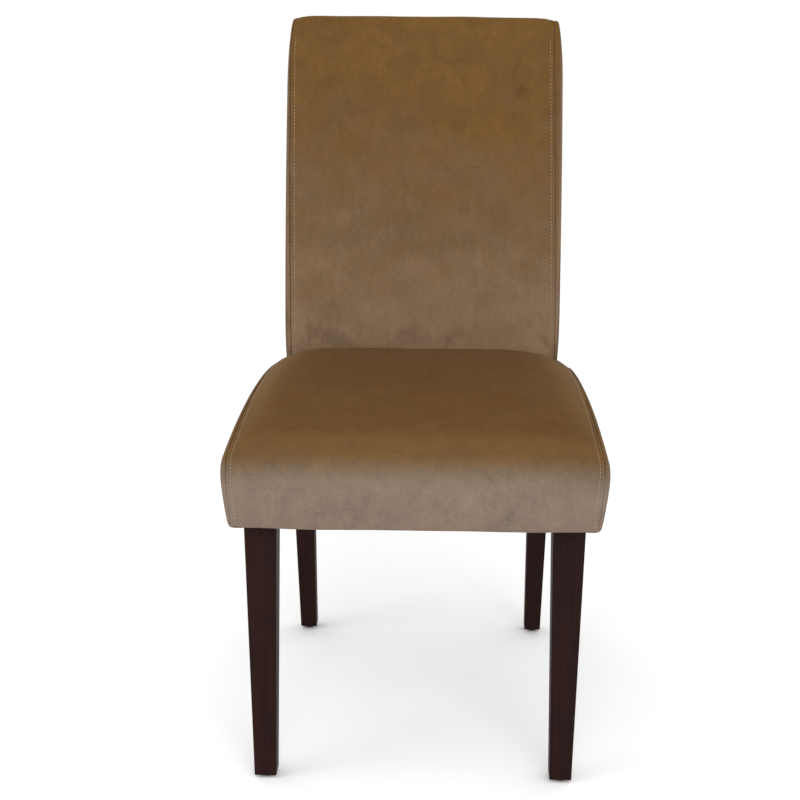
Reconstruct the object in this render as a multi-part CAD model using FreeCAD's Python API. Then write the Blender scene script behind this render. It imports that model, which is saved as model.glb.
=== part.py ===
"""Parsons dining chair: an upholstered seat box and a slim, raked and curved upholstered back
on four tapered hardwood legs.

Millimetres. +X is to the right in a view from the front, +Y runs from the front to the back and
+Z up. The origin lies on the floor under the middle of the overall width and depth. Places along
the chair are written as d, the distance behind the foremost line of the seat, and at() turns
them into Y. The curved back is drawn in rho and an angle: rho is the distance from the centre
line of its curve, which lies far behind the chair, and the angle climbs from level.

Construction: leg and upright are one sawn post on each side of the back. The side rails run
outside legs and posts and are doweled to the posts, the front rail is housed between them, and
the rear rail and the three back rails are tenoned into the posts. Corner blocks brace the four
corners, and a hanger bolt draws each front leg into its corner. Woven webbing carries the pads,
wadding softens the edges, and sewn velvet panels close everything. A dust cover shuts the
underside.
"""
import FreeCAD
import Part
import math
import os

# Overall sizes
OVERALL_HEIGHT = 1005.0
SEAT_UNDERSIDE = 357.0

# Upholstered seat
SEAM_HALF_WIDTH = 239.8      # half width between the side seams, high on the foremost line
SEAM_LEVEL = 449.0           # height at which it is measured
SEAT_TAPER = 0.0345          # what each side loses per millimetre towards the back
SEAT_LEAN = 0.078            # what each side gains per millimetre of height
SEAT_REAR_D = 472.0
SEAT_SEAM_HEIGHT = 483.0     # of the side seams, where the seat is highest
SEAT_CROWN = 31.0            # how much higher the middle is there
SEAT_CROWN_POWER = 6         # how late the crown falls towards the seams
SEAT_PEAK_D = 352.0
SEAT_FRONT_DROP = 33.0       # how much lower the side seams are at the front roll
SEAT_FRONT_CROWN = 8.0
SEAT_BACK_CURVE = 1000.0     # radius of the top behind its peak
FRONT_ROLL_RADIUS = 34.0
REAR_ROLL_RADIUS = 28.0
FRONT_BOW = 4.0              # how far the middle of the front stands before its corners
FRONT_TUCK = 3.0             # how far the front draws in at its lower edge
SIDE_BULGE = 10.0            # of the side panels, out from the seams
SIDE_ROUNDING = 18.0         # how far in from the seams the bulge is full
SIDE_REAR_ROUNDING = 10.0    # how much further down it is full where the seat is highest
SIDE_BULGE_HEIGHT = 455.0    # the side panels draw in again below this height
SIDE_TRIM = 0.6              # how far outside the full bulge the drawn-in face starts
SIDE_FOOT_BULGE = 3.2        # what is left of the bulge at the underside
CROWN_STATIONS = (-1.0, -0.92, -0.75, -0.45, 0.0, 0.45, 0.75, 0.92, 1.0)

# Upholstered back
BACK_FRONT_D = 427.0
BACK_THICKNESS = 64.0
BACK_CURVE_RADIUS = 2000.0   # of the front surface, seen from the side
BACK_CURVE_LEVEL = 340.0     # height of the centre line of the curve
BACK_SEAM_HALF_WIDTH = 199.8
BACK_CROWN = 6.0
BACK_CROWN_POWER = 4
BACK_CORNER_DROP = 4.5       # how much lower the top is at the seams
BACK_CORNER_POWER = 14       # how late it falls towards them
BACK_TOP_FRONT_RADIUS = 24.0
BACK_TOP_REAR_RADIUS = 14.0
BOXING_BULGE = 11.9
BOXING_ROUNDING = 21.0       # how far in from the front seam the bulge is full
BOXING_REAR_ROUNDING = 2.0
BOXING_FADE = 9.2            # what the boxing loses over the last stretch to the top
BOXING_FADE_HEIGHT = 110.0
BOXING_PINCH = 3.5           # what the seat takes from it at the foot
BOXING_PINCH_SPAN = (490.0, 565.0)
BOXING_TRIM = 0.3            # how far outside the full bulge the fading outline starts
REAR_SEAM_HALF_WIDTH = 206.0

# Layers
COVER = 1.2                  # velvet with its backing
HEM_WIDTH = 24.0
STRAP_WIDTH = 50.0
STRAP_THICKNESS = 1.6
STRAP_WEAVE = 1.0            # how far a strap swings to each side of its middle level
STRAP_SLOPE_LENGTH = 14.0
STRAP_FOLD = 18.0            # turned-over end, tacked to the wood
SEAT_STRAP_X = (-112.5, -37.5, 37.5, 112.5)
SEAT_STRAP_D = (92.0, 180.0, 268.0, 356.0)
BACK_STRAP_X = (-90.0, 0.0, 90.0)
BACK_STRAP_Z = (530.0, 615.0, 785.0, 870.0)
BACK_STRAP_ENDS = (452.0, 960.0)
PAD_CLEARANCE = 0.2
BACK_PAD = 20.0
BACK_CARD = 2.0
DUST_COVER = 0.8
DUST_COVER_SETBACK = 14.0

# Legs and posts
FRONT_LEG_TOP = 42.2
FRONT_LEG_FOOT = 29.2
FRONT_LEG_OUTER_X = 219.1
FRONT_LEG_FOOT_OUTER_X = 211.4
FRONT_LEG_D = 24.5
FRONT_LEG_FOOT_D = 27.2
POST_OUTER_X = 204.5
POST_WIDTH = 34.0
POST_DEPTH = 34.0
POST_FOOT_OUTER_X = 201.6
POST_FOOT_WIDTH = 26.0
POST_FOOT_DEPTH = 26.0
POST_FOOT_REAR_D = 574.0
POST_KNEE_HEIGHT = 345.0
POST_TOP_HEIGHT = 974.0
KNEE_RADIUS = 110.0
LEG_EDGE_RADIUS = 2.0

# Seat frame
RAIL_THICKNESS = 19.0         # of the side rails, along their tops
RAIL_TOP = 428.0
RAIL_FRONT_D = 8.5
RAIL_REAR_D = 470.0
RAIL_SETBACK = 3.0           # of the side rails' outer faces, in from the seams
HOUSING_DEPTH = 8.0
HOUSING_THICKNESS = 8.0
REAR_RAIL_THICKNESS = 22.0
REAR_RAIL_D = 457.0
TENON_LENGTH = 18.0
TENON_THICKNESS = 10.0
TENON_SHOULDER = 9.0
BLOCK_THICKNESS = 28.0
BLOCK_HEIGHT = 50.0
BLOCK_BOTTOM = 368.0
FRONT_BLOCK_REACH = 73.0     # from the corner along each rail to the block
REAR_BLOCK_REACH = 52.0
BLOCK_SPARE = 6.0            # length that is trimmed off against the side rail
SCREW_FROM_END = 18.0
DOWEL_RADIUS = 4.0
DOWEL_IN_POST = 14.0
DOWEL_IN_RAIL = 8.0
DOWEL_HEIGHTS = (378.0, 408.0)
DOWEL_FROM_RAIL = 6.0        # behind the front of the rear rail

# Back frame
BACK_RAIL_THICKNESS = 20.0
BACK_RAIL_SPANS = {"top": (914.0, POST_TOP_HEIGHT), "middle": (680.0, 722.0), "bottom": (448.0, 490.0)}

# Fasteners and glides
BOLT_RADIUS = 4.0
BOLT_IN_LEG = 30.0
BOLT_STUB = 6.0
BOLT_HOLE_RADIUS = 4.4
BOLT_HEIGHT = 393.0
WASHER_RADIUS = 9.0
WASHER_THICKNESS = 1.6
NUT_ACROSS_FLATS = 13.0
NUT_HEIGHT = 6.5
SCREW_RADIUS = 2.0
SCREW_HEAD_RADIUS = 4.2
SCREW_HEAD_HEIGHT = 2.4
SCREW_LENGTH = 38.0
GLIDE_RADIUS = 12.0
GLIDE_HEIGHT = 5.0
GLIDE_RIM = 1.2
GLIDE_FLAT_RADIUS = 5.5
GLIDE_BULGE = 0.85
GLIDE_NAIL_RADIUS = 1.2
GLIDE_NAIL_LENGTH = 16.0

# Worked out from the sizes above
RAIL_BOTTOM = SEAT_UNDERSIDE + COVER
STRAP_ROOM = 2.0 * STRAP_THICKNESS + PAD_CLEARANCE
SEAT_PAD_BOTTOM = RAIL_TOP + STRAP_ROOM
BACK_CENTRE_D = BACK_FRONT_D + BACK_CURVE_RADIUS
BACK_REAR_RHO = BACK_CURVE_RADIUS - BACK_THICKNESS
PAD_RHO = BACK_CURVE_RADIUS - COVER - BACK_PAD
POST_FRONT_RHO = PAD_RHO - STRAP_ROOM
POST_REAR_RHO = POST_FRONT_RHO - POST_DEPTH
CARD_RHO = POST_REAR_RHO - BACK_CARD
POST_INNER_X = POST_OUTER_X - POST_WIDTH
FAR = 3000.0


def vector(x, d, z):
    return FreeCAD.Vector(x, at(d), z)


def top_angles(front_rho, rear_rho, height, front_radius, rear_radius):
    """Angles where the front roll, the top edge and the rear roll of the back are met."""
    front = math.asin((height - front_radius - BACK_CURVE_LEVEL) / (front_rho - front_radius))
    edge = front + math.asin(front_radius / (front_rho - front_radius))
    rear = edge - math.asin(rear_radius / (rear_rho + rear_radius))
    return front, edge, rear


def overall_depth():
    angle = top_angles(BACK_CURVE_RADIUS + BACK_CROWN, BACK_REAR_RHO, OVERALL_HEIGHT,
                       BACK_TOP_FRONT_RADIUS, BACK_TOP_REAR_RADIUS)[2]
    reach = (BACK_REAR_RHO + BACK_TOP_REAR_RADIUS) * math.cos(angle)
    return BACK_CENTRE_D - reach + BACK_TOP_REAR_RADIUS


OVERALL_DEPTH = overall_depth()


def at(d):
    return d - OVERALL_DEPTH / 2.0


def arc(first, middle, last):
    return Part.Arc(first, middle, last).toShape()


def line(first, last):
    return Part.LineSegment(first, last).toShape()


def polygon_prism(corners, low, high):
    """A prism on a plan outline, given as (x, d) pairs, between two heights."""
    points = [vector(x, d, low) for x, d in corners]
    face = Part.Face(Part.makePolygon(points + points[:1]))
    return face.extrude(FreeCAD.Vector(0.0, 0.0, high - low))


def box(x_range, d_range, z_range):
    (x0, x1), (d0, d1), (z0, z1) = x_range, d_range, z_range
    return Part.makeBox(x1 - x0, d1 - d0, z1 - z0, vector(x0, d0, z0))


def cylinder(radius, start, end):
    return Part.makeCylinder(radius, (end - start).Length, start, end - start)


def mirrored(shape):
    return shape.mirror(FreeCAD.Vector(0.0, 0.0, 0.0), FreeCAD.Vector(1.0, 0.0, 0.0))


def fused(shapes):
    whole = shapes[0]
    for shape in shapes[1:]:
        whole = whole.fuse(shape)
    return whole


def on_side(shape, side):
    """The shape as drawn for the +X side, or its mirror image for the -X side."""
    return shape if side == "right" else mirrored(shape)


# Seat form

def seam_x(d, z=SEAT_UNDERSIDE):
    """Half the width between the planes of the side seams, which lean outwards as they rise."""
    return SEAM_HALF_WIDTH - SEAT_TAPER * d - SEAT_LEAN * (SEAM_LEVEL - z)


def crown_share(station, power):
    return 1.0 - abs(station) ** power


def seat_profile(station, inset, low, out=0.0, fall=0.0):
    """The seat's outline seen from the side, at a share of the half width between the seams.

    It lies in the plane through that share, moved outwards by out, and its highest part is lower
    by fall.
    """
    share = crown_share(station, SEAT_CROWN_POWER)
    sign = math.copysign(1.0, station)

    def point(d, z):
        return vector(station * seam_x(d, z) + sign * out, d, z)

    bow = FRONT_BOW * (1.0 - share)
    peak = SEAT_SEAM_HEIGHT + SEAT_CROWN * share - fall
    drop = SEAT_FRONT_DROP + (SEAT_CROWN - SEAT_FRONT_CROWN) * share - fall
    run = SEAT_PEAK_D - FRONT_ROLL_RADIUS - bow
    top_radius = (run ** 2 + drop ** 2) / (2.0 * drop)
    front_tilt = math.asin(run / (top_radius - FRONT_ROLL_RADIUS))
    rear_run = SEAT_REAR_D - REAR_ROLL_RADIUS - SEAT_PEAK_D
    rear_tilt = math.asin(rear_run / (SEAT_BACK_CURVE - REAR_ROLL_RADIUS))
    front_level = peak - top_radius + (top_radius - FRONT_ROLL_RADIUS) * math.cos(front_tilt)
    rear_level = peak - SEAT_BACK_CURVE
    rear_level += (SEAT_BACK_CURVE - REAR_ROLL_RADIUS) * math.cos(rear_tilt)

    def front_roll(tilt):
        radius = FRONT_ROLL_RADIUS - inset
        return point(FRONT_ROLL_RADIUS + bow - radius * math.sin(tilt),
                     front_level + radius * math.cos(tilt))

    def top(tilt, radius):
        return point(SEAT_PEAK_D - (radius - inset) * math.sin(tilt),
                     peak - radius + (radius - inset) * math.cos(tilt))

    def rear_roll(tilt):
        radius = REAR_ROLL_RADIUS - inset
        return point(SEAT_REAR_D - REAR_ROLL_RADIUS + radius * math.sin(tilt),
                     rear_level + radius * math.cos(tilt))

    def front_face(z):
        tuck = FRONT_TUCK * ((front_level - z) / (front_level - SEAT_UNDERSIDE)) ** 2
        return point(bow + inset + tuck, z)

    quarter = math.pi / 2.0
    foot = front_face(low)
    heel = point(SEAT_REAR_D - inset, low)
    edges = [
        arc(foot, front_face((front_level + low) / 2.0), front_roll(quarter)),
        arc(front_roll(quarter), front_roll((quarter + front_tilt) / 2.0), front_roll(front_tilt)),
        arc(front_roll(front_tilt), top(front_tilt / 2.0, top_radius), top(0.0, top_radius)),
        arc(top(0.0, SEAT_BACK_CURVE), top(-rear_tilt / 2.0, SEAT_BACK_CURVE), rear_roll(rear_tilt)),
        arc(rear_roll(rear_tilt), rear_roll((quarter + rear_tilt) / 2.0), rear_roll(quarter)),
        line(rear_roll(quarter), heel),
        line(heel, foot),
    ]
    return Part.Wire(edges)


def seat_middle(inset, low):
    """The seat between its side seams."""
    wires = [seat_profile(station, inset, low) for station in CROWN_STATIONS]
    return Part.makeLoft(wires, True, False)


def seat_side(inset, low):
    """What stands out past the right side seam: full along its middle, drawn in all round."""
    wires = []
    for degrees in (0.0, 30.0, 60.0, 90.0):
        turn = math.radians(degrees)
        deeper = inset + SIDE_ROUNDING * (1.0 - math.cos(turn))
        fall = SIDE_REAR_ROUNDING * (1.0 - math.cos(turn))
        out = (SIDE_BULGE - inset) * math.sin(turn)
        wires.append(seat_profile(1.0, deeper, low, out, fall))
    pillow = Part.makeLoft(wires, True, False)
    bulge = SIDE_BULGE + SIDE_TRIM - inset
    foot = SIDE_FOOT_BULGE - inset
    fall = SIDE_BULGE_HEIGHT - low
    radius = (fall ** 2 + (bulge - foot) ** 2) / (2.0 * (bulge - foot))
    half_way = bulge - radius + math.sqrt(radius ** 2 - (fall / 2.0) ** 2)
    start, top = -50.0, 600.0

    def point(out, z):
        return vector(seam_x(start, z) + out, start, z)

    edges = [
        arc(point(foot, low), point(half_way, low + fall / 2.0), point(bulge, SIDE_BULGE_HEIGHT)),
        line(point(bulge, SIDE_BULGE_HEIGHT), point(bulge, top)),
        line(point(bulge, top), point(-20.0, top)),
        line(point(-20.0, top), point(-20.0, low)),
        line(point(-20.0, low), point(foot, low)),
    ]
    length = SEAT_REAR_D + 100.0
    drawn_in = Part.Face(Part.Wire(edges)).extrude(FreeCAD.Vector(-SEAT_TAPER * length, length, 0.0))
    return pillow.common(drawn_in)


def seat_volume(inset, low):
    side = seat_side(inset, low)
    return fused([seat_middle(inset, low), side, mirrored(side)])


# Back form

def polar(x, rho, angle):
    return vector(x, BACK_CENTRE_D - rho * math.cos(angle), BACK_CURVE_LEVEL + rho * math.sin(angle))


def angle_at(rho, z):
    return math.asin((z - BACK_CURVE_LEVEL) / rho)


def curved_slab(x_range, rho_range, z_range):
    """A slab that follows the back's curve, with ends square to it.

    Its ends are given as heights on the front of the posts.
    """
    (x0, x1), (rho0, rho1) = x_range, rho_range
    low = angle_at(POST_FRONT_RHO, z_range[0])
    high = angle_at(POST_FRONT_RHO, z_range[1])
    middle = (low + high) / 2.0
    edges = [
        arc(polar(x0, rho1, low), polar(x0, rho1, middle), polar(x0, rho1, high)),
        line(polar(x0, rho1, high), polar(x0, rho0, high)),
        arc(polar(x0, rho0, high), polar(x0, rho0, middle), polar(x0, rho0, low)),
        line(polar(x0, rho0, low), polar(x0, rho1, low)),
    ]
    return Part.Face(Part.Wire(edges)).extrude(FreeCAD.Vector(x1 - x0, 0.0, 0.0))


def radial(angle):
    return FreeCAD.Vector(0.0, -math.cos(angle), math.sin(angle))


def upward(angle):
    """The direction in which the angle grows, along the back."""
    return FreeCAD.Vector(0.0, math.sin(angle), math.cos(angle))


def roll_arc(centre, radius, out, up):
    """Three points of a rounded edge between two faces with the normals out and up."""
    middle = out + up
    middle.normalize()
    return [centre + direction * radius for direction in (out, middle, up)]


def back_profile(x, inset, rear_inset, crown, drop, low):
    """The back's outline seen from the side, at one place across its width."""
    front_rho = BACK_CURVE_RADIUS + crown - inset
    rear_rho = BACK_REAR_RHO + rear_inset
    front_radius = BACK_TOP_FRONT_RADIUS - inset
    rear_radius = max(BACK_TOP_REAR_RADIUS - inset, 1.0)
    front, edge, rear = top_angles(front_rho, rear_rho, OVERALL_HEIGHT - drop - inset,
                                   front_radius, rear_radius)
    front_centre = polar(x, front_rho - front_radius, front)
    rear_centre = polar(x, rear_rho + rear_radius, rear)
    front_roll = roll_arc(front_centre, front_radius, radial(front), upward(edge))
    rear_roll = roll_arc(rear_centre, rear_radius, radial(rear) * -1.0, upward(edge))
    front_low = angle_at(front_rho, low)
    rear_low = angle_at(rear_rho, low)
    toe = polar(x, front_rho, front_low)
    heel = polar(x, rear_rho, rear_low)
    edges = [
        arc(toe, polar(x, front_rho, (front_low + front) / 2.0), front_roll[0]),
        arc(*front_roll),
        line(front_roll[2], rear_roll[2]),
        arc(*reversed(rear_roll)),
        arc(rear_roll[0], polar(x, rear_rho, (rear_low + rear) / 2.0), heel),
        line(heel, toe),
    ]
    return Part.Wire(edges)


def back_middle(inset, low):
    """The back between its front seams."""
    wires = []
    for station in CROWN_STATIONS:
        crown = BACK_CROWN * crown_share(station, BACK_CROWN_POWER)
        drop = BACK_CORNER_DROP * (1.0 - crown_share(station, BACK_CORNER_POWER))
        wires.append(back_profile(station * BACK_SEAM_HALF_WIDTH, inset, inset, crown, drop, low))
    return Part.makeLoft(wires, True, False)


def back_side(inset, low):
    """The boxing past the right front seam, which runs out towards the top of the back.

    Beside the seat it is pinched a little.
    """
    wires = []
    for degrees in (0.0, 30.0, 60.0, 90.0):
        turn = math.radians(degrees)
        x = BACK_SEAM_HALF_WIDTH + (BOXING_BULGE - inset) * math.sin(turn)
        deeper = inset + BOXING_ROUNDING * (1.0 - math.cos(turn))
        rear_deeper = inset + BOXING_REAR_ROUNDING * (1.0 - math.cos(turn))
        wires.append(back_profile(x, deeper, rear_deeper, 0.0, BACK_CORNER_DROP, low))
    pillow = Part.makeLoft(wires, True, False)
    side = BACK_SEAM_HALF_WIDTH + BOXING_BULGE + BOXING_TRIM - inset
    inner = BACK_SEAM_HALF_WIDTH - 10.0
    bottom = low - 10.0
    fade_start = OVERALL_HEIGHT - BOXING_FADE_HEIGHT
    pinch_low, pinch_high = BOXING_PINCH_SPAN

    def point(x, z):
        return vector(x, BACK_FRONT_D - 100.0, z)

    edges = [
        line(point(side - BOXING_PINCH, bottom), point(side - BOXING_PINCH, pinch_low)),
        arc(point(side - BOXING_PINCH, pinch_low),
            point(side - BOXING_PINCH / 4.0, (pinch_low + pinch_high) / 2.0),
            point(side, pinch_high)),
        line(point(side, pinch_high), point(side, fade_start)),
        arc(point(side, fade_start),
            point(side - BOXING_FADE / 4.0, fade_start + BOXING_FADE_HEIGHT / 2.0),
            point(side - BOXING_FADE, OVERALL_HEIGHT)),
        line(point(side - BOXING_FADE, OVERALL_HEIGHT), point(inner, OVERALL_HEIGHT)),
        line(point(inner, OVERALL_HEIGHT), point(inner, bottom)),
        line(point(inner, bottom), point(side - BOXING_PINCH, bottom)),
    ]
    outline = Part.Face(Part.Wire(edges)).extrude(FreeCAD.Vector(0.0, OVERALL_DEPTH, 0.0))
    return pillow.common(outline)


def back_volume(inset, low):
    side = back_side(inset, low)
    return fused([back_middle(inset, low), side, mirrored(side)])


# Legs, posts and rails

def rounded_square(x_range, d_range, z, radius):
    (x0, x1), (d0, d1) = x_range, d_range
    slack = radius * (1.0 - math.sqrt(0.5))
    corners = [(x0, d0, 1, 1), (x1, d0, -1, 1), (x1, d1, -1, -1), (x0, d1, 1, -1)]
    arcs = []
    for index, (x, d, right, back) in enumerate(corners):
        along_x = vector(x + right * radius, d, z)
        along_d = vector(x, d + back * radius, z)
        first, last = (along_d, along_x) if index % 2 == 0 else (along_x, along_d)
        arcs.append(Part.Arc(first, vector(x + right * slack, d + back * slack, z), last))
    edges = []
    for index, piece in enumerate(arcs):
        following = arcs[(index + 1) % 4]
        edges.append(piece.toShape())
        edges.append(line(piece.EndPoint, following.StartPoint))
    return Part.Wire(edges)


def front_leg():
    """The right front leg: square in the seat frame, tapered on all four sides below it."""
    x_top = (FRONT_LEG_OUTER_X - FRONT_LEG_TOP, FRONT_LEG_OUTER_X)
    x_foot = (FRONT_LEG_FOOT_OUTER_X - FRONT_LEG_FOOT, FRONT_LEG_FOOT_OUTER_X)
    d_top = (FRONT_LEG_D, FRONT_LEG_D + FRONT_LEG_TOP)
    d_foot = (FRONT_LEG_FOOT_D, FRONT_LEG_FOOT_D + FRONT_LEG_FOOT)
    shoulder = rounded_square(x_top, d_top, SEAT_UNDERSIDE, LEG_EDGE_RADIUS)
    foot = rounded_square(x_foot, d_foot, GLIDE_HEIGHT, LEG_EDGE_RADIUS)
    taper = Part.makeLoft([foot, shoulder], True, True)
    head = Part.Face(shoulder).extrude(FreeCAD.Vector(0.0, 0.0, RAIL_TOP - SEAT_UNDERSIDE))
    return taper.fuse(head).removeSplitter()


def post_outline():
    """Side view of a rear post: raked leg, knee, and the upright that curves back."""
    knee_front = angle_at(POST_FRONT_RHO, POST_KNEE_HEIGHT)
    knee_rear = angle_at(POST_REAR_RHO, POST_KNEE_HEIGHT)
    top = angle_at(POST_FRONT_RHO, POST_TOP_HEIGHT)
    x = POST_INNER_X
    foot_front = vector(x, POST_FOOT_REAR_D - POST_FOOT_DEPTH, GLIDE_HEIGHT)
    foot_rear = vector(x, POST_FOOT_REAR_D, GLIDE_HEIGHT)
    front = polar(x, POST_FRONT_RHO, knee_front)
    rear = polar(x, POST_REAR_RHO, knee_rear)
    edges = [
        line(foot_front, front),
        arc(front, polar(x, POST_FRONT_RHO, (knee_front + top) / 2.0), polar(x, POST_FRONT_RHO, top)),
        line(polar(x, POST_FRONT_RHO, top), polar(x, POST_REAR_RHO, top)),
        arc(polar(x, POST_REAR_RHO, top), polar(x, POST_REAR_RHO, (knee_rear + top) / 2.0), rear),
        line(rear, foot_rear),
        line(foot_rear, foot_front),
    ]
    return Part.Face(Part.Wire(edges))


def is_knee(edge):
    ends = [vertex.Point for vertex in edge.Vertexes]
    level = all(abs(point.z - POST_KNEE_HEIGHT) < 0.5 for point in ends)
    return level and abs(ends[0].x - ends[1].x) > 1.0


def rear_post():
    """The right rear post, sawn from one board, its leg tapered in the front view too."""
    board = post_outline().extrude(FreeCAD.Vector(POST_WIDTH, 0.0, 0.0))
    board = board.makeFillet(KNEE_RADIUS, [edge for edge in board.Edges if is_knee(edge)])
    foot_inner_x = POST_FOOT_OUTER_X - POST_FOOT_WIDTH
    corners = [
        (POST_INNER_X, OVERALL_HEIGHT), (POST_OUTER_X, OVERALL_HEIGHT),
        (POST_OUTER_X, SEAT_UNDERSIDE), (POST_FOOT_OUTER_X, GLIDE_HEIGHT),
        (foot_inner_x, GLIDE_HEIGHT), (POST_INNER_X, SEAT_UNDERSIDE),
    ]
    points = [vector(x, 300.0, z) for x, z in corners]
    outline = Part.Face(Part.makePolygon(points + points[:1]))
    tapered = board.common(outline.extrude(FreeCAD.Vector(0.0, 400.0, 0.0)))
    return tapered.removeSplitter()


def rail_inner_x(d):
    """Where the inner face of the right side rail stands."""
    return seam_x(d, RAIL_TOP) - RAIL_SETBACK - RAIL_THICKNESS


def frame_envelope(d_range, z_range):
    """What lies between the outer faces of the two side rails, which lean with the seams."""
    wires = []
    for z in z_range:
        corners = [(seam_x(d, z) - RAIL_SETBACK, d) for d in d_range]
        corners += [(-x, d) for x, d in reversed(corners)]
        points = [vector(x, d, z) for x, d in corners]
        wires.append(Part.makePolygon(points + points[:1]))
    return Part.makeLoft(wires, True, True)


def side_rail():
    """A side rail whose outer face is sawn to the lean of the seat's side."""
    ends = (RAIL_FRONT_D, RAIL_REAR_D)
    inner = [(rail_inner_x(d), d) for d in ends]
    board = polygon_prism(inner + [(SEAM_HALF_WIDTH, d) for d in reversed(ends)],
                          RAIL_BOTTOM, RAIL_TOP)
    return board.common(frame_envelope(ends, (RAIL_BOTTOM, RAIL_TOP)))


def front_rail():
    """The front rail with a tongue at each end, housed in the side rails."""
    half = rail_inner_x(RAIL_FRONT_D)
    body = box((-half, half), (RAIL_FRONT_D, FRONT_LEG_D), (RAIL_BOTTOM, RAIL_TOP))
    inset = (FRONT_LEG_D - RAIL_FRONT_D - HOUSING_THICKNESS) / 2.0
    tongue = box((-half - HOUSING_DEPTH, half + HOUSING_DEPTH),
                 (RAIL_FRONT_D + inset, FRONT_LEG_D - inset),
                 (RAIL_BOTTOM + HOUSING_DEPTH, RAIL_TOP - HOUSING_DEPTH))
    return body.fuse(tongue)


def rear_rail():
    body = box((-POST_INNER_X, POST_INNER_X), (REAR_RAIL_D, REAR_RAIL_D + REAR_RAIL_THICKNESS),
               (RAIL_BOTTOM, RAIL_TOP))
    inset = (REAR_RAIL_THICKNESS - TENON_THICKNESS) / 2.0
    reach = POST_INNER_X + TENON_LENGTH
    tenon = box((-reach, reach), (REAR_RAIL_D + inset, REAR_RAIL_D + REAR_RAIL_THICKNESS - inset),
                (RAIL_BOTTOM + TENON_SHOULDER, RAIL_TOP - TENON_SHOULDER))
    return body.fuse(tenon)


def back_rail(span):
    """A rail across the back, flush with the fronts of the posts and tenoned into them."""
    low, high = span
    rho = (POST_FRONT_RHO - BACK_RAIL_THICKNESS, POST_FRONT_RHO)
    body = curved_slab((-POST_INNER_X, POST_INNER_X), rho, (low, high))
    inset = (BACK_RAIL_THICKNESS - TENON_THICKNESS) / 2.0
    reach = POST_INNER_X + TENON_LENGTH
    tenon = curved_slab((-reach, reach), (rho[0] + inset, rho[1] - inset),
                        (low + TENON_SHOULDER, high - TENON_SHOULDER))
    return body.fuse(tenon)


# Corner blocks and fasteners

def front_corner(across, back, z):
    """A place by its distances from the right front corner of the frame, along both rails."""
    return vector(rail_inner_x(FRONT_LEG_D) - across, FRONT_LEG_D + back, z)


def rear_corner(across, forward, z):
    """The same for the right rear corner, between side rail and rear rail."""
    return vector(rail_inner_x(REAR_RAIL_D) - across, REAR_RAIL_D - forward, z)


def corner_block(place, reach, low, high):
    """A brace across a corner, long enough to be trimmed against the side rail."""
    depth = BLOCK_THICKNESS * math.sqrt(2.0)
    plan = [(reach, 0.0), (reach + depth, 0.0), (-BLOCK_SPARE, reach + depth + BLOCK_SPARE),
            (-BLOCK_SPARE, reach + BLOCK_SPARE)]
    points = [place(across, along, low) for across, along in plan]
    face = Part.Face(Part.makePolygon(points + points[:1]))
    return face.extrude(FreeCAD.Vector(0.0, 0.0, high - low))


def diagonal_place(place, distance, z):
    return place(distance / math.sqrt(2.0), distance / math.sqrt(2.0), z)


def bolt_start():
    return FRONT_BLOCK_REACH / math.sqrt(2.0)


def hanger_bolt():
    inner_face = bolt_start() + BLOCK_THICKNESS
    end = inner_face + WASHER_THICKNESS + NUT_HEIGHT + BOLT_STUB
    return cylinder(BOLT_RADIUS, diagonal_place(front_corner, bolt_start() - BOLT_IN_LEG, BOLT_HEIGHT),
                    diagonal_place(front_corner, end, BOLT_HEIGHT))


def bolt_hole():
    return cylinder(BOLT_HOLE_RADIUS, diagonal_place(front_corner, bolt_start(), BOLT_HEIGHT),
                    diagonal_place(front_corner, bolt_start() + BLOCK_THICKNESS, BOLT_HEIGHT))


def washer():
    start = bolt_start() + BLOCK_THICKNESS
    ends = [diagonal_place(front_corner, start + step, BOLT_HEIGHT) for step in (0.0, WASHER_THICKNESS)]
    return cylinder(WASHER_RADIUS, *ends).cut(cylinder(BOLT_HOLE_RADIUS, *ends))


def nut():
    start = bolt_start() + BLOCK_THICKNESS + WASHER_THICKNESS
    first = diagonal_place(front_corner, start, BOLT_HEIGHT)
    last = diagonal_place(front_corner, start + NUT_HEIGHT, BOLT_HEIGHT)
    axis = last - first
    sideways = FreeCAD.Vector(axis.y, -axis.x, 0.0)
    sideways.normalize()
    corner_radius = NUT_ACROSS_FLATS / math.sqrt(3.0)
    points = []
    for index in range(7):
        turn = math.radians(60.0 * index)
        offset = sideways * math.cos(turn) + FreeCAD.Vector(0.0, 0.0, 1.0) * math.sin(turn)
        points.append(first + offset * corner_radius)
    return Part.Face(Part.makePolygon(points)).extrude(axis).cut(cylinder(BOLT_RADIUS, first, last))


def block_screws(place, reach):
    """Two countersunk screws through the ends of a corner block, one into each rail."""
    depth = BLOCK_THICKNESS * math.sqrt(2.0)
    height = BLOCK_BOTTOM + BLOCK_HEIGHT / 2.0
    step = SCREW_LENGTH / math.sqrt(2.0)
    screws = []
    far = reach + depth - SCREW_FROM_END
    for across, along in ((far, SCREW_FROM_END), (SCREW_FROM_END, far)):
        head = place(across, along, height)
        tip = place(across - step, along - step, height)
        direction = tip - head
        shank = cylinder(SCREW_RADIUS, head, tip)
        cone = Part.makeCone(SCREW_HEAD_RADIUS, SCREW_RADIUS, SCREW_HEAD_HEIGHT, head, direction)
        screws.append(shank.fuse(cone))
    return screws


def rail_dowels():
    """Two dowels from the right side rail into the rear post."""
    d = REAR_RAIL_D + DOWEL_FROM_RAIL
    return [cylinder(DOWEL_RADIUS, vector(POST_OUTER_X - DOWEL_IN_POST, d, height),
                     vector(POST_OUTER_X + DOWEL_IN_RAIL, d, height)) for height in DOWEL_HEIGHTS]


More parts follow.
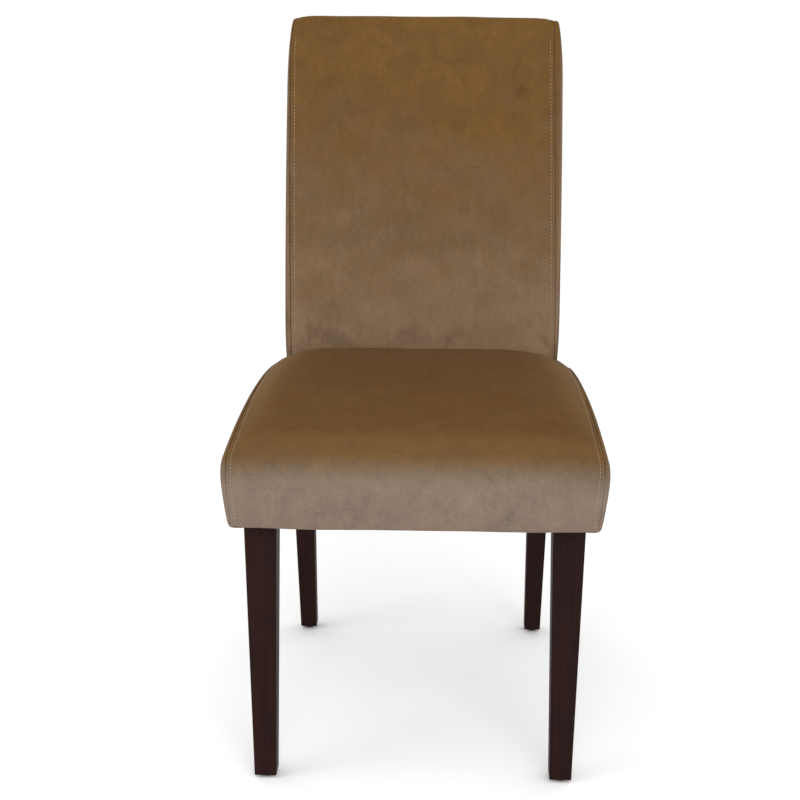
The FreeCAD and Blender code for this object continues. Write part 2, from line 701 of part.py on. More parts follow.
def glide(x, d):
    """A domed nail-on glide with a small flat, and its nail."""
    rim = GLIDE_HEIGHT - GLIDE_RIM
    chord = math.hypot(GLIDE_RADIUS - GLIDE_FLAT_RADIUS, rim)
    middle_r = (GLIDE_FLAT_RADIUS + GLIDE_RADIUS) / 2.0 + GLIDE_BULGE * rim / chord
    middle_z = rim / 2.0 - GLIDE_BULGE * (GLIDE_RADIUS - GLIDE_FLAT_RADIUS) / chord

    def point(radius, z):
        return vector(x + radius, d, z)

    edges = [
        line(point(0.0, 0.0), point(GLIDE_FLAT_RADIUS, 0.0)),
        arc(point(GLIDE_FLAT_RADIUS, 0.0), point(middle_r, middle_z), point(GLIDE_RADIUS, rim)),
        line(point(GLIDE_RADIUS, rim), point(GLIDE_RADIUS, GLIDE_HEIGHT)),
        line(point(GLIDE_RADIUS, GLIDE_HEIGHT), point(GLIDE_NAIL_RADIUS, GLIDE_HEIGHT)),
        line(point(GLIDE_NAIL_RADIUS, GLIDE_HEIGHT),
             point(GLIDE_NAIL_RADIUS, GLIDE_HEIGHT + GLIDE_NAIL_LENGTH)),
        line(point(GLIDE_NAIL_RADIUS, GLIDE_HEIGHT + GLIDE_NAIL_LENGTH),
             point(0.0, GLIDE_HEIGHT + GLIDE_NAIL_LENGTH)),
        line(point(0.0, GLIDE_HEIGHT + GLIDE_NAIL_LENGTH), point(0.0, 0.0)),
    ]
    face = Part.Face(Part.Wire(edges))
    return face.revolve(vector(x, d, 0.0), FreeCAD.Vector(0.0, 0.0, 1.0), 360.0)


# Webbing

def woven_path(start, end, crossings):
    """Places and levels along a strap: flat where it crosses another, sloped in between."""
    first_place, first_half, _ = crossings[0]
    last_place, last_half, _ = crossings[-1]
    path = [(start, 0.0), (first_place - first_half - STRAP_SLOPE_LENGTH, 0.0)]
    for place, half, level in crossings:
        path.append((place - half, level))
        path.append((place + half, level))
    path.append((last_place + last_half + STRAP_SLOPE_LENGTH, 0.0))
    path.append((end, 0.0))
    return path


def strap_solid(path, place, width, joined=line):
    """A strap along a path, with its ends turned over on top; place gives a point of it.

    place takes the distance along the strap and the height over the wood.
    """
    solids = []
    folds = [(path[0][0], path[0][0] + STRAP_FOLD), (path[-1][0] - STRAP_FOLD, path[-1][0])]
    runs = [(path, 0.0)] + [([(first, 0.0), (last, 0.0)], STRAP_THICKNESS) for first, last in folds]
    for run, lift in runs:
        low = [(along, level + lift) for along, level in run]
        high = [(along, level + lift + STRAP_THICKNESS) for along, level in reversed(run)]
        corners = low + high
        edges = []
        for first, last in zip(corners, corners[1:] + corners[:1]):
            edges.append(joined(first, last) if joined is not line else line(place(*first), place(*last)))
        solids.append(Part.Face(Part.Wire(edges)).extrude(width))
    return fused(solids)


def weave_level(row, column):
    return STRAP_WEAVE if (row + column) % 2 == 0 else -STRAP_WEAVE


def seat_straps_lengthwise():
    straps = []
    for row, x in enumerate(SEAT_STRAP_X):
        crossings = [(d, STRAP_WIDTH / 2.0, weave_level(row, column))
                     for column, d in enumerate(SEAT_STRAP_D)]
        path = woven_path(RAIL_FRONT_D + 2.0, REAR_RAIL_D + REAR_RAIL_THICKNESS - 3.0, crossings)
        left = x - STRAP_WIDTH / 2.0
        straps.append(strap_solid(path, lambda d, height: vector(left, d, RAIL_TOP + height),
                                  FreeCAD.Vector(STRAP_WIDTH, 0.0, 0.0)))
    return straps


def seat_straps_crosswise():
    straps = []
    for column, d in enumerate(SEAT_STRAP_D):
        crossings = [(x, STRAP_WIDTH / 2.0, -weave_level(row, column))
                     for row, x in enumerate(SEAT_STRAP_X)]
        end = seam_x(d + STRAP_WIDTH / 2.0) - RAIL_SETBACK - 2.0
        path = woven_path(-end, end, crossings)
        front = d - STRAP_WIDTH / 2.0
        straps.append(strap_solid(path, lambda x, height: vector(x, front, RAIL_TOP + height),
                                  FreeCAD.Vector(0.0, STRAP_WIDTH, 0.0)))
    return straps


def back_straps_upright():
    low, high = BACK_RAIL_SPANS["middle"]
    straps = []
    for row, x in enumerate(BACK_STRAP_X):
        crossings = [(z, STRAP_WIDTH / 2.0, weave_level(row, column))
                     for column, z in enumerate(BACK_STRAP_Z)]
        crossings.insert(2, ((low + high) / 2.0, (high - low) / 2.0 + 4.0, 0.0))
        path = woven_path(BACK_STRAP_ENDS[0], BACK_STRAP_ENDS[1], crossings)
        left = x - STRAP_WIDTH / 2.0

        def place(z, height):
            return polar(left, POST_FRONT_RHO + height, angle_at(POST_FRONT_RHO, z))

        def joined(first, last):
            (z0, height0), (z1, height1) = first, last
            if abs(z1 - z0) < 1.0 or abs(height1 - height0) > 0.01:
                return line(place(*first), place(*last))
            return arc(place(*first), place((z0 + z1) / 2.0, height0), place(*last))

        straps.append(strap_solid(path, place, FreeCAD.Vector(STRAP_WIDTH, 0.0, 0.0), joined))
    return straps


def back_straps_cross():
    straps = []
    for column, z in enumerate(BACK_STRAP_Z):
        crossings = [(x, STRAP_WIDTH / 2.0, -weave_level(row, column))
                     for row, x in enumerate(BACK_STRAP_X)]
        end = POST_OUTER_X - 3.0
        path = woven_path(-end, end, crossings)
        angle = angle_at(POST_FRONT_RHO, z)
        foot = upward(angle) * (STRAP_WIDTH / -2.0)
        straps.append(strap_solid(path, lambda x, height: polar(x, POST_FRONT_RHO + height, angle) + foot,
                                  upward(angle) * STRAP_WIDTH))
    return straps


# Upholstery

def back_zone():
    """Where the back's upholstery goes before the seat's: above the seat pad and behind it."""
    width = (-FAR, FAR)
    above = box(width, (0.0, FAR), (SEAT_PAD_BOTTOM, FAR))
    behind = box(width, (SEAT_REAR_D, FAR), (0.0, SEAT_PAD_BOTTOM))
    return above.fuse(behind)


def side_hem():
    """The strip under the right side rail that the side panel's turned-in edge takes."""
    front, back = HEM_WIDTH, SEAT_REAR_D + 1.0
    strip = [(seam_x(d) - HEM_WIDTH, d) for d in (front, back)]
    strip += [(seam_x(d) + SIDE_BULGE, d) for d in (back, front)]
    return polygon_prism(strip, 0.0, RAIL_BOTTOM)


def hem_opening():
    """The part of the underside that the turned-in covers leave open."""
    edge = [(seam_x(d) - HEM_WIDTH, d) for d in (HEM_WIDTH, 600.0)]
    return polygon_prism(edge + [(-x, d) for x, d in reversed(edge)], 0.0, RAIL_BOTTOM)


def seat_covers(back, wood):
    """The seat's velvet: one panel over top and front, and a panel on each side."""
    middle = seat_middle(0.0, SEAT_UNDERSIDE).cut(seat_middle(COVER, RAIL_BOTTOM))
    middle = middle.cut(hem_opening())
    hem = middle.common(side_hem())
    side = seat_side(0.0, SEAT_UNDERSIDE).cut(seat_side(COVER, RAIL_BOTTOM)).fuse(hem)
    covers = {
        "seat_cover_top": middle.cut(side_hem()).cut(mirrored(side_hem())),
        "seat_cover_side_right": side.removeSplitter(),
    }
    behind = box((-BACK_SEAM_HALF_WIDTH - BOXING_BULGE, BACK_SEAM_HALF_WIDTH + BOXING_BULGE),
                 (RAIL_REAR_D - 3.0, FAR), (0.0, SEAT_PAD_BOTTOM))
    for name, cover in covers.items():
        for piece in [back, behind] + wood:
            cover = cover.cut(piece)
        covers[name] = cover
    covers["seat_cover_side_left"] = mirrored(covers["seat_cover_side_right"])
    return covers


def back_covers(outer, inner, zone, wood):
    """The back's velvet: front over the top, a boxing strip on each side, and the rear panel."""
    shell = outer.common(zone).cut(inner)
    rear_angle = top_angles(BACK_CURVE_RADIUS + BACK_CROWN, BACK_REAR_RHO, OVERALL_HEIGHT,
                            BACK_TOP_FRONT_RADIUS, BACK_TOP_REAR_RADIUS)[2]
    rear_top = BACK_CURVE_LEVEL + BACK_REAR_RHO * math.sin(rear_angle) - BACK_CORNER_DROP
    drum = Part.makeCylinder(BACK_REAR_RHO + COVER + 0.8, 2.0 * REAR_SEAM_HALF_WIDTH,
                             vector(-REAR_SEAM_HALF_WIDTH, BACK_CENTRE_D, BACK_CURVE_LEVEL),
                             FreeCAD.Vector(1.0, 0.0, 0.0))
    rear = drum.common(box((-FAR, FAR), (400.0, 1200.0), (0.0, rear_top)))
    rear = rear.fuse(box((-FAR, FAR), (SEAT_REAR_D, 700.0), (0.0, RAIL_BOTTOM)))
    for piece in wood:
        shell = shell.cut(piece)
    wrapped = box((-BACK_SEAM_HALF_WIDTH, BACK_SEAM_HALF_WIDTH), (300.0, 700.0), (0.0, 1100.0))
    right = box((BACK_SEAM_HALF_WIDTH, 300.0), (300.0, 700.0), (0.0, 1100.0))
    rest = shell.cut(rear)
    return {
        "back_cover_rear": shell.common(rear),
        "back_cover_front": rest.common(wrapped),
        "back_cover_side_right": rest.common(right),
        "back_cover_side_left": rest.common(mirrored(right)),
    }


def back_padding(inner, zone):
    """The foam in front of the straps, and the wadding round the frame of the back."""
    ahead = Part.makeCylinder(PAD_RHO, 800.0, vector(-400.0, BACK_CENTRE_D, BACK_CURVE_LEVEL),
                              FreeCAD.Vector(1.0, 0.0, 0.0))
    inside = inner.common(zone)
    above = box((-FAR, FAR), (0.0, FAR), (SEAT_PAD_BOTTOM, FAR))
    foam = inside.common(above).cut(ahead)
    core = curved_slab((-POST_OUTER_X, POST_OUTER_X), (CARD_RHO, PAD_RHO),
                       (SEAT_UNDERSIDE - 40.0, POST_TOP_HEIGHT))
    return foam, inside.common(ahead).cut(core)


def dust_cover(wood):
    """The sheet under the seat, narrower behind the rear legs where the back closes the frame."""
    front, back = DUST_COVER_SETBACK + FRONT_BOW, SEAT_REAR_D - DUST_COVER_SETBACK
    edge = [(seam_x(d) - DUST_COVER_SETBACK, d) for d in (front, back)]
    edge += [(POST_OUTER_X - 4.0, back), (POST_OUTER_X - 4.0, SEAT_REAR_D + 10.0)]
    sheet = polygon_prism(edge + [(-x, d) for x, d in reversed(edge)],
                          SEAT_UNDERSIDE - DUST_COVER, SEAT_UNDERSIDE)
    for piece in wood:
        sheet = sheet.cut(piece)
    return sheet


def group(solids):
    return Part.makeCompound(solids)


def build_frame(parts):
    """Legs, posts, rails, blocks and fasteners, each cut to take its neighbours."""
    sides = ("right", "left")
    leg = front_leg()
    post = rear_post()
    rails = {name: back_rail(span) for name, span in BACK_RAIL_SPANS.items()}
    front = front_rail()
    rear = rear_rail()
    side = side_rail().cut(leg).cut(post).cut(front)
    clearing = corner_block(front_corner, FRONT_BLOCK_REACH, BLOCK_BOTTOM, RAIL_TOP)
    blocks = {
        "front": (front_corner, FRONT_BLOCK_REACH),
        "rear": (rear_corner, REAR_BLOCK_REACH),
    }
    bolt = hanger_bolt()
    dowels = rail_dowels()
    screws = []
    for name, (place, reach) in blocks.items():
        own = block_screws(place, reach)
        block = corner_block(place, reach, BLOCK_BOTTOM, BLOCK_BOTTOM + BLOCK_HEIGHT).cut(side_rail())
        block = block.cut(bolt_hole()) if name == "front" else block
        for screw in own:
            block = block.cut(screw)
        for which in sides:
            parts[f"corner_block_{name}_{which}"] = on_side(block, which)
        screws.extend(own)
    for piece in screws + dowels:
        side = side.cut(piece)
    for dowel in dowels:
        post = post.cut(dowel)
    for rail in list(rails.values()) + [rear]:
        post = post.cut(rail)
    foot_x = FRONT_LEG_FOOT_OUTER_X - FRONT_LEG_FOOT / 2.0
    post_foot_x = POST_FOOT_OUTER_X - POST_FOOT_WIDTH / 2.0
    glides = {
        "front": glide(foot_x, FRONT_LEG_FOOT_D + FRONT_LEG_FOOT / 2.0),
        "rear": glide(post_foot_x, POST_FOOT_REAR_D - POST_FOOT_DEPTH / 2.0),
    }
    leg = leg.cut(clearing).cut(bolt).cut(glides["front"])
    post = post.cut(glides["rear"])
    for screw in screws + [mirrored(screw) for screw in screws]:
        front = front.cut(screw)
        rear = rear.cut(screw)
    for which in sides:
        parts[f"front_leg_{which}"] = on_side(leg, which)
        parts[f"rear_post_{which}"] = on_side(post, which)
        parts[f"seat_rail_{which}"] = on_side(side, which)
    parts["seat_rail_front"] = front
    parts["seat_rail_rear"] = rear
    for name, rail in rails.items():
        parts[f"back_rail_{name}"] = rail
    fasteners = {"glides": list(glides.values()), "hanger_bolts": [bolt], "washers": [washer()], "nuts": [nut()],
                 "corner_block_screws": screws, "rail_dowels": dowels}
    for name, solids in fasteners.items():
        parts[name] = group(solids + [mirrored(solid) for solid in solids])


def build_upholstery(parts):
    """Straps, pads, wadding, card and covers."""
    parts["seat_straps_lengthwise"] = group(seat_straps_lengthwise())
    parts["seat_straps_crosswise"] = group(seat_straps_crosswise())
    parts["back_straps_upright"] = group(back_straps_upright())
    parts["back_straps_cross"] = group(back_straps_cross())
    zone = back_zone()
    back_outer = back_volume(0.0, SEAT_UNDERSIDE)
    back_inner = back_volume(COVER, RAIL_BOTTOM)
    back = back_outer.common(zone)
    seat_inner = seat_volume(COVER, RAIL_BOTTOM)
    wood = [front_leg(), mirrored(front_leg()), rear_post(), mirrored(rear_post())]
    parts.update(seat_covers(back, wood))
    parts.update(back_covers(back_outer, back_inner, zone, wood))
    parts["back_foam"], parts["back_wadding"] = back_padding(back_inner, zone)
    split = box((-FAR, FAR), (-FAR, FAR), (SEAT_PAD_BOTTOM, FAR))
    parts["seat_foam"] = seat_inner.common(split).cut(back)
    frame = frame_envelope((RAIL_FRONT_D, SEAT_REAR_D + REAR_ROLL_RADIUS),
                           (SEAT_UNDERSIDE, SEAT_PAD_BOTTOM))
    parts["seat_wadding"] = seat_inner.cut(split).cut(frame)
    parts["back_card"] = curved_slab((-POST_OUTER_X, POST_OUTER_X), (CARD_RHO, POST_REAR_RHO),
                                     (SEAT_UNDERSIDE + 8.0, POST_TOP_HEIGHT - 4.0))
    parts["dust_cover"] = dust_cover(wood)


def main():
    parts = {}
    build_frame(parts)
    build_upholstery(parts)
    os.makedirs("parts", exist_ok=True)
    for name, shape in parts.items():
        solids = shape.Solids
        print(f"{name}: {len(solids)} solids, {sum(s.Volume for s in solids) / 1000.0:.1f} cm3,",
              "sound" if shape.isValid() else "NOT SOUND")
        kept = solids[0] if len(solids) == 1 else Part.makeCompound(solids)
        kept.exportStep(f"parts/{name}.step")


main()
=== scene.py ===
"""Looks of an upholstered parsons dining chair in taupe velvet on dark tapered legs.

Lengths in the settings are metres. Shapes of the covers are worked out in millimetres from the
chair's own drawing: x across, d behind the foremost line of the seat and z up.
"""

import math

import bmesh
import bpy
import numpy as np
from mathutils import Matrix, Vector, noise
from mathutils.bvhtree import BVHTree


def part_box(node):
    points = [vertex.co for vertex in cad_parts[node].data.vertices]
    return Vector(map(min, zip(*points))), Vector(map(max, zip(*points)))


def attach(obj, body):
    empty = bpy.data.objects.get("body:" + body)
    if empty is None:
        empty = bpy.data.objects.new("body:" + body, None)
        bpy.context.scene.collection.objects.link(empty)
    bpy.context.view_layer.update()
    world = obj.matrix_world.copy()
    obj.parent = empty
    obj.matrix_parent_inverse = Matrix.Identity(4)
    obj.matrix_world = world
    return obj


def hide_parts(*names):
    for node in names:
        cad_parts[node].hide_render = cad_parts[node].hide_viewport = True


bl_info = {
    "name": "Parsons Chair",
    "version": (1, 0, 0),
    "blender": (4, 5, 0),
    "location": "3D View > Sidebar > Parsons Chair",
    "description": "Builds the velvet covers, seams, finishes and studio of a parsons chair",
    "category": "Object",
}

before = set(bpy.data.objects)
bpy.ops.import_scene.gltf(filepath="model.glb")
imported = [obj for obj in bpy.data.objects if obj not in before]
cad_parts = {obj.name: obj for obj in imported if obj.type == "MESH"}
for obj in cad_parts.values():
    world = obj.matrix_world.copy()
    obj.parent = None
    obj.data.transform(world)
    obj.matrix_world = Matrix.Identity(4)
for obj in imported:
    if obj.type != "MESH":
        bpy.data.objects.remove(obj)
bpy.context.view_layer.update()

# Seat form, in millimetres
FRONT_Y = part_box("seat_cover_top")[0].y
UNDERSIDE = 357.0
SEAT_HALF_WIDTH = 239.8
SEAT_TAPER = 0.0345
SEAT_LEAN = 0.078
SEAT_LEAN_LEVEL = 449.0
SEAT_REAR = 472.0
SEAT_SEAM_HEIGHT = 483.0
SEAT_CROWN = 31.0
SEAT_CROWN_POWER = 6
SEAT_PEAK = 352.0
SEAT_FRONT_DROP = 33.0
SEAT_FRONT_CROWN = 8.0
SEAT_BACK_CURVE = 1000.0
FRONT_ROLL = 34.0
REAR_ROLL = 28.0
FRONT_BOW = 4.0
FRONT_TUCK = 3.0
SIDE_BULGE = 10.0
SIDE_ROUNDING = 18.0
SIDE_REAR_ROUNDING = 10.0
SIDE_BULGE_HEIGHT = 455.0
SIDE_FOOT_BULGE = 3.2
HEM_ROUNDING = 4.0
HEM = 17.0
HEM_STEP = 5.0
REAR_HEM = 12.0
SIDE_TRIM = 0.6
SIDE_SOFTNESS = 1.2

# Back form, in millimetres
HEIGHT = 1005.0
BACK_FRONT = 427.0
BACK_THICKNESS = 64.0
BACK_CURVE = 2000.0
BACK_CURVE_LEVEL = 340.0
BACK_HALF_WIDTH = 199.8
BACK_CROWN = 6.0
BACK_CROWN_POWER = 4
BACK_CORNER_DROP = 4.5
BACK_CORNER_POWER = 14
TOP_FRONT_ROLL = 24.0
TOP_REAR_ROLL = 14.0
BOXING_BULGE = 11.9
BOXING_ROUNDING = 21.0
BOXING_REAR_ROLL = 3.4
BOXING_FADE = 9.2
BOXING_FADE_HEIGHT = 110.0
BOXING_PINCH = 3.5
BOXING_PINCH_TOP = 565.0
BOXING_PINCH_HEIGHT = 75.0
BOXING_TRIM = 0.3
BOXING_SOFTNESS = 0.8
BOXING_ROOM = 12.0
REAR_SEAM_REACH = 6.0
REAR_HALF_WIDTH = 206.0
SEAM_DRIFT = {"left": (0.7, 5.3), "right": (4.2, -2.6)}
DRIFT_FROM = 500.0
DRIFT_HEIGHT = 450.0
DRIFT_SHARE = 0.55
BACK_CENTRE = BACK_FRONT + BACK_CURVE
BACK_REAR_RHO = BACK_CURVE - BACK_THICKNESS

# Steps from a seam across a cover, in millimetres, and then the usual step
SEAM_STEPS = (0.0, 0.45, 1.1, 2.0, 3.4, 4.8, 6.0, 7.4, 9.6, 13.0, 18.0)
USUAL_STEP = 6.0

# How far a cover turns down into its seam, as a share of the seam's rounding
SEAM_FULLNESS = 0.6

# The dip under the topstitches and the ridge beside it: depth, distance from the seam and width
STITCH_PLACE = 6.0
STITCH_SHAPE = ((0.75, STITCH_PLACE, 1.5), (-0.35, 3.2, 1.6))

# Angles at which a rounding has its points, and the small rounding of a hem
ROUNDING_TURNS = np.radians([0.0, 3.0, 7.0, 12.0, 18.0, 26.0, 35.0, 46.0, 58.0, 72.0, 90.0])
HEM_TURN = np.linspace(0.0, math.pi / 2.0, 5)[1:]
HEM_SIN = HEM_ROUNDING * np.sin(HEM_TURN)
HEM_COS = HEM_ROUNDING * np.cos(HEM_TURN)

# Below this much, in millimetres, a point counts as lying on its seam
ON_SEAM = 0.05

SIDES = (("right", 1.0), ("left", -1.0))


def metres(x, d, z):
    return np.stack([x / 1000.0, FRONT_Y + d / 1000.0, z / 1000.0], axis=-1)


def spaced(start, end, step):
    """Even steps from start to end, both included, no longer than step."""
    count = max(2, int(math.ceil(abs(end - start) / step)) + 1)
    return np.linspace(start, end, count)


def from_both_seams(half_width):
    """Places across a cover from -half_width to half_width, close together near the seams."""
    near = half_width - np.array(SEAM_STEPS)
    middle = spaced(-near[-1], near[-1], USUAL_STEP)[1:-1]
    return np.concatenate([-near, middle, near[::-1]])


def level_share(station, power):
    """How much of a crown is left at a share of the way from the middle to a seam."""
    return 1.0 - abs(station) ** power


def seam_x(d, z):
    """Half the width between the seat's side seams, whose planes lean out upwards."""
    return SEAT_HALF_WIDTH - SEAT_TAPER * d - SEAT_LEAN * (SEAT_LEAN_LEVEL - z)


# Outlines seen from the side

def seat_outline(station):
    """The seat from the front hem over the top to the rear hem, as arrays of d and z."""
    share = level_share(station, SEAT_CROWN_POWER)
    bow = FRONT_BOW * (1.0 - share)
    peak = SEAT_SEAM_HEIGHT + SEAT_CROWN * share
    drop = SEAT_FRONT_DROP + (SEAT_CROWN - SEAT_FRONT_CROWN) * share
    front_run = SEAT_PEAK - FRONT_ROLL - bow
    top_radius = (front_run ** 2 + drop ** 2) / (2.0 * drop)
    front_tilt = math.asin(front_run / (top_radius - FRONT_ROLL))
    rear_run = SEAT_REAR - REAR_ROLL - SEAT_PEAK
    rear_tilt = math.asin(rear_run / (SEAT_BACK_CURVE - REAR_ROLL))
    front_level = peak - top_radius + (top_radius - FRONT_ROLL) * math.cos(front_tilt)
    rear_level = peak - SEAT_BACK_CURVE + (SEAT_BACK_CURVE - REAR_ROLL) * math.cos(rear_tilt)
    quarter = math.pi / 2.0
    foot = bow + FRONT_TUCK

    hem = spaced(foot + HEM, foot + HEM_ROUNDING, HEM_STEP)
    rise = np.linspace(UNDERSIDE + HEM_ROUNDING, front_level, 14)[1:]
    tuck = FRONT_TUCK * ((front_level - rise) / (front_level - UNDERSIDE)) ** 2
    roll = np.linspace(quarter, front_tilt, 9)[1:]
    top = np.linspace(front_tilt, 0.0, 52)[1:]
    rear = np.linspace(0.0, rear_tilt, 16)[1:]
    rear_roll = np.linspace(rear_tilt, quarter, 9)[1:]
    fall = np.linspace(rear_level, UNDERSIDE + HEM_ROUNDING, 14)[1:]
    rear_hem = spaced(SEAT_REAR - HEM_ROUNDING, SEAT_REAR - REAR_HEM, HEM_STEP)[1:]
    parts = (
        (hem, np.full(len(hem), UNDERSIDE)),
        (foot + HEM_ROUNDING - HEM_SIN, UNDERSIDE + HEM_ROUNDING - HEM_COS),
        (bow + tuck, rise),
        (FRONT_ROLL + bow - FRONT_ROLL * np.sin(roll), front_level + FRONT_ROLL * np.cos(roll)),
        (SEAT_PEAK - top_radius * np.sin(top), peak - top_radius + top_radius * np.cos(top)),
        (SEAT_PEAK + SEAT_BACK_CURVE * np.sin(rear),
         peak - SEAT_BACK_CURVE + SEAT_BACK_CURVE * np.cos(rear)),
        (SEAT_REAR - REAR_ROLL + REAR_ROLL * np.sin(rear_roll),
         rear_level + REAR_ROLL * np.cos(rear_roll)),
        (np.full(len(fall), SEAT_REAR), fall),
        (SEAT_REAR - HEM_ROUNDING + HEM_COS, UNDERSIDE + HEM_ROUNDING - HEM_SIN),
        (rear_hem, np.full(len(rear_hem), UNDERSIDE)),
    )
    return [np.concatenate(line) for line in zip(*parts)]


# Rows of the outline that lie in the front hem and in the rear one
HEM_ROWS = len(spaced(HEM, HEM_ROUNDING, HEM_STEP)) + 3
REAR_HEM_ROWS = len(spaced(SEAT_REAR - HEM_ROUNDING, SEAT_REAR - REAR_HEM, HEM_STEP)) - 1 + 4


def polar(rho, angle):
    return BACK_CENTRE - rho * np.cos(angle), BACK_CURVE_LEVEL + rho * np.sin(angle)


def angle_at(z, rho):
    return math.asin((z - BACK_CURVE_LEVEL) / rho)


def back_top(station):
    """Radius of the front, and the angles where its roll starts, the top lies and the rear starts."""
    front_rho = BACK_CURVE + BACK_CROWN * level_share(station, BACK_CROWN_POWER)
    height = HEIGHT - BACK_CORNER_DROP * (1.0 - level_share(station, BACK_CORNER_POWER))
    front = angle_at(height - TOP_FRONT_ROLL, front_rho - TOP_FRONT_ROLL)
    edge = front + math.asin(TOP_FRONT_ROLL / (front_rho - TOP_FRONT_ROLL))
    rear = edge - math.asin(TOP_REAR_ROLL / (BACK_REAR_RHO + TOP_REAR_ROLL))
    return front_rho, front, edge, rear


def rolled(centre, radius, first, last, count):
    """Points of a rounded edge between two outward directions, given as (d, z)."""
    start = math.atan2(first[1], first[0])
    end = math.atan2(last[1], last[0])
    turn = np.linspace(start, end, count)
    return centre[0] + radius * np.cos(turn), centre[1] + radius * np.sin(turn)


def back_outline(station, low):
    """The back from low on its front, over the top to the seam at the rear."""
    front_rho, front, edge, rear = back_top(station)
    angles = np.linspace(angle_at(low, front_rho), front, 92)
    d, z = polar(front_rho, angles)
    upward = (math.sin(edge), math.cos(edge))
    front_roll = rolled(polar(front_rho - TOP_FRONT_ROLL, front), TOP_FRONT_ROLL,
                        (-math.cos(front), math.sin(front)), upward, 9)
    rear_roll = rolled(polar(BACK_REAR_RHO + TOP_REAR_ROLL, rear), TOP_REAR_ROLL,
                       upward, (math.cos(rear), -math.sin(rear)), 8)
    flat = np.linspace(0.0, 1.0, 7)[1:-1]
    flat_d = front_roll[0][-1] + flat * (rear_roll[0][0] - front_roll[0][-1])
    flat_z = front_roll[1][-1] + flat * (rear_roll[1][0] - front_roll[1][-1])
    d = np.concatenate([d, front_roll[0][1:], flat_d, rear_roll[0]])
    z = np.concatenate([z, front_roll[1][1:], flat_z, rear_roll[1]])
    return d, z


def rear_outline(station, low):
    """The rear of the back, from its top seam down to low."""
    top = back_top(station)[-1]
    return polar(BACK_REAR_RHO, np.linspace(top, angle_at(low, BACK_REAR_RHO), 108))


def back_front_d(x, z):
    """Where the front of the back stands at that height."""
    share = np.clip(level_share(x / BACK_HALF_WIDTH, BACK_CROWN_POWER), 0.0, 1.0)
    rho = BACK_CURVE + BACK_CROWN * share
    return BACK_CENTRE - np.sqrt(rho ** 2 - (z - BACK_CURVE_LEVEL) ** 2)


# Sheets of points: rows along a cover, columns across it

def grid_normals(points):
    along = np.gradient(points, axis=0)
    across = np.gradient(points, axis=1)
    normal = np.cross(along, across)
    return normal / np.maximum(np.linalg.norm(normal, axis=-1, keepdims=True), 1e-12)


def seam_depth(distance, radius, stitched):
    """How deep a cover dips at that distance from its seam, in millimetres."""
    inside = np.clip(radius - distance, 0.0, radius)
    dip = SEAM_FULLNESS * (radius - np.sqrt(radius ** 2 - inside ** 2))
    if stitched:
        for height, place, width in STITCH_SHAPE:
            dip = dip + height * np.exp(-((distance - place) / width) ** 2)
    return dip


def distance_to_line(d, z, line_d, line_z):
    """Distance from points to a polyline in the side view."""
    start = np.stack([line_d[:-1], line_z[:-1]], axis=-1)
    step = np.stack([np.diff(line_d), np.diff(line_z)], axis=-1)
    length = np.maximum((step ** 2).sum(-1), 1e-12)
    places = np.stack([d, z], axis=-1).reshape(-1, 1, 2)
    share = np.clip(((places - start) * step).sum(-1) / length, 0.0, 1.0)
    nearest = start + share[..., None] * step
    return np.sqrt(((places - nearest) ** 2).sum(-1).min(-1)).reshape(np.shape(d))


def softer_of(first, second, width):
    """The lower of two values, with their meeting rounded over."""
    return 0.5 * (first + second - np.sqrt((first - second) ** 2 + width ** 2)) + 0.25 * width


def seat_top_sheet():
    stations = from_both_seams(SEAT_HALF_WIDTH) / SEAT_HALF_WIDTH
    columns = []
    for station in stations:
        d, z = seat_outline(station)
        columns.append(metres(station * seam_x(d, z), d, z))
    return np.stack(columns, axis=1)


def arch_and_base(arch_d, arch_z, base_d, base_z):
    """The base line with as many points as the arch, spread in the same shares of its length."""
    arch_run = np.concatenate([[0.0], np.cumsum(np.hypot(np.diff(arch_d), np.diff(arch_z)))])
    base_run = np.concatenate([[0.0], np.cumsum(np.hypot(np.diff(base_d), np.diff(base_z)))])
    share = arch_run / arch_run[-1] * base_run[-1]
    return np.interp(share, base_run, base_d), np.interp(share, base_run, base_z)


def between(arch, base, share):
    """The d and z of points at a share of the way from one line to another."""
    return [first[:, None] + (last - first)[:, None] * share for first, last in zip(arch, base)]


def side_rounding(d):
    """How far in from its seam the bulge of the seat's side panel is full."""
    slope = np.clip((d - FRONT_ROLL) / (SEAT_PEAK - FRONT_ROLL), 0.0, 1.0)
    return SIDE_ROUNDING + SIDE_REAR_ROUNDING * slope


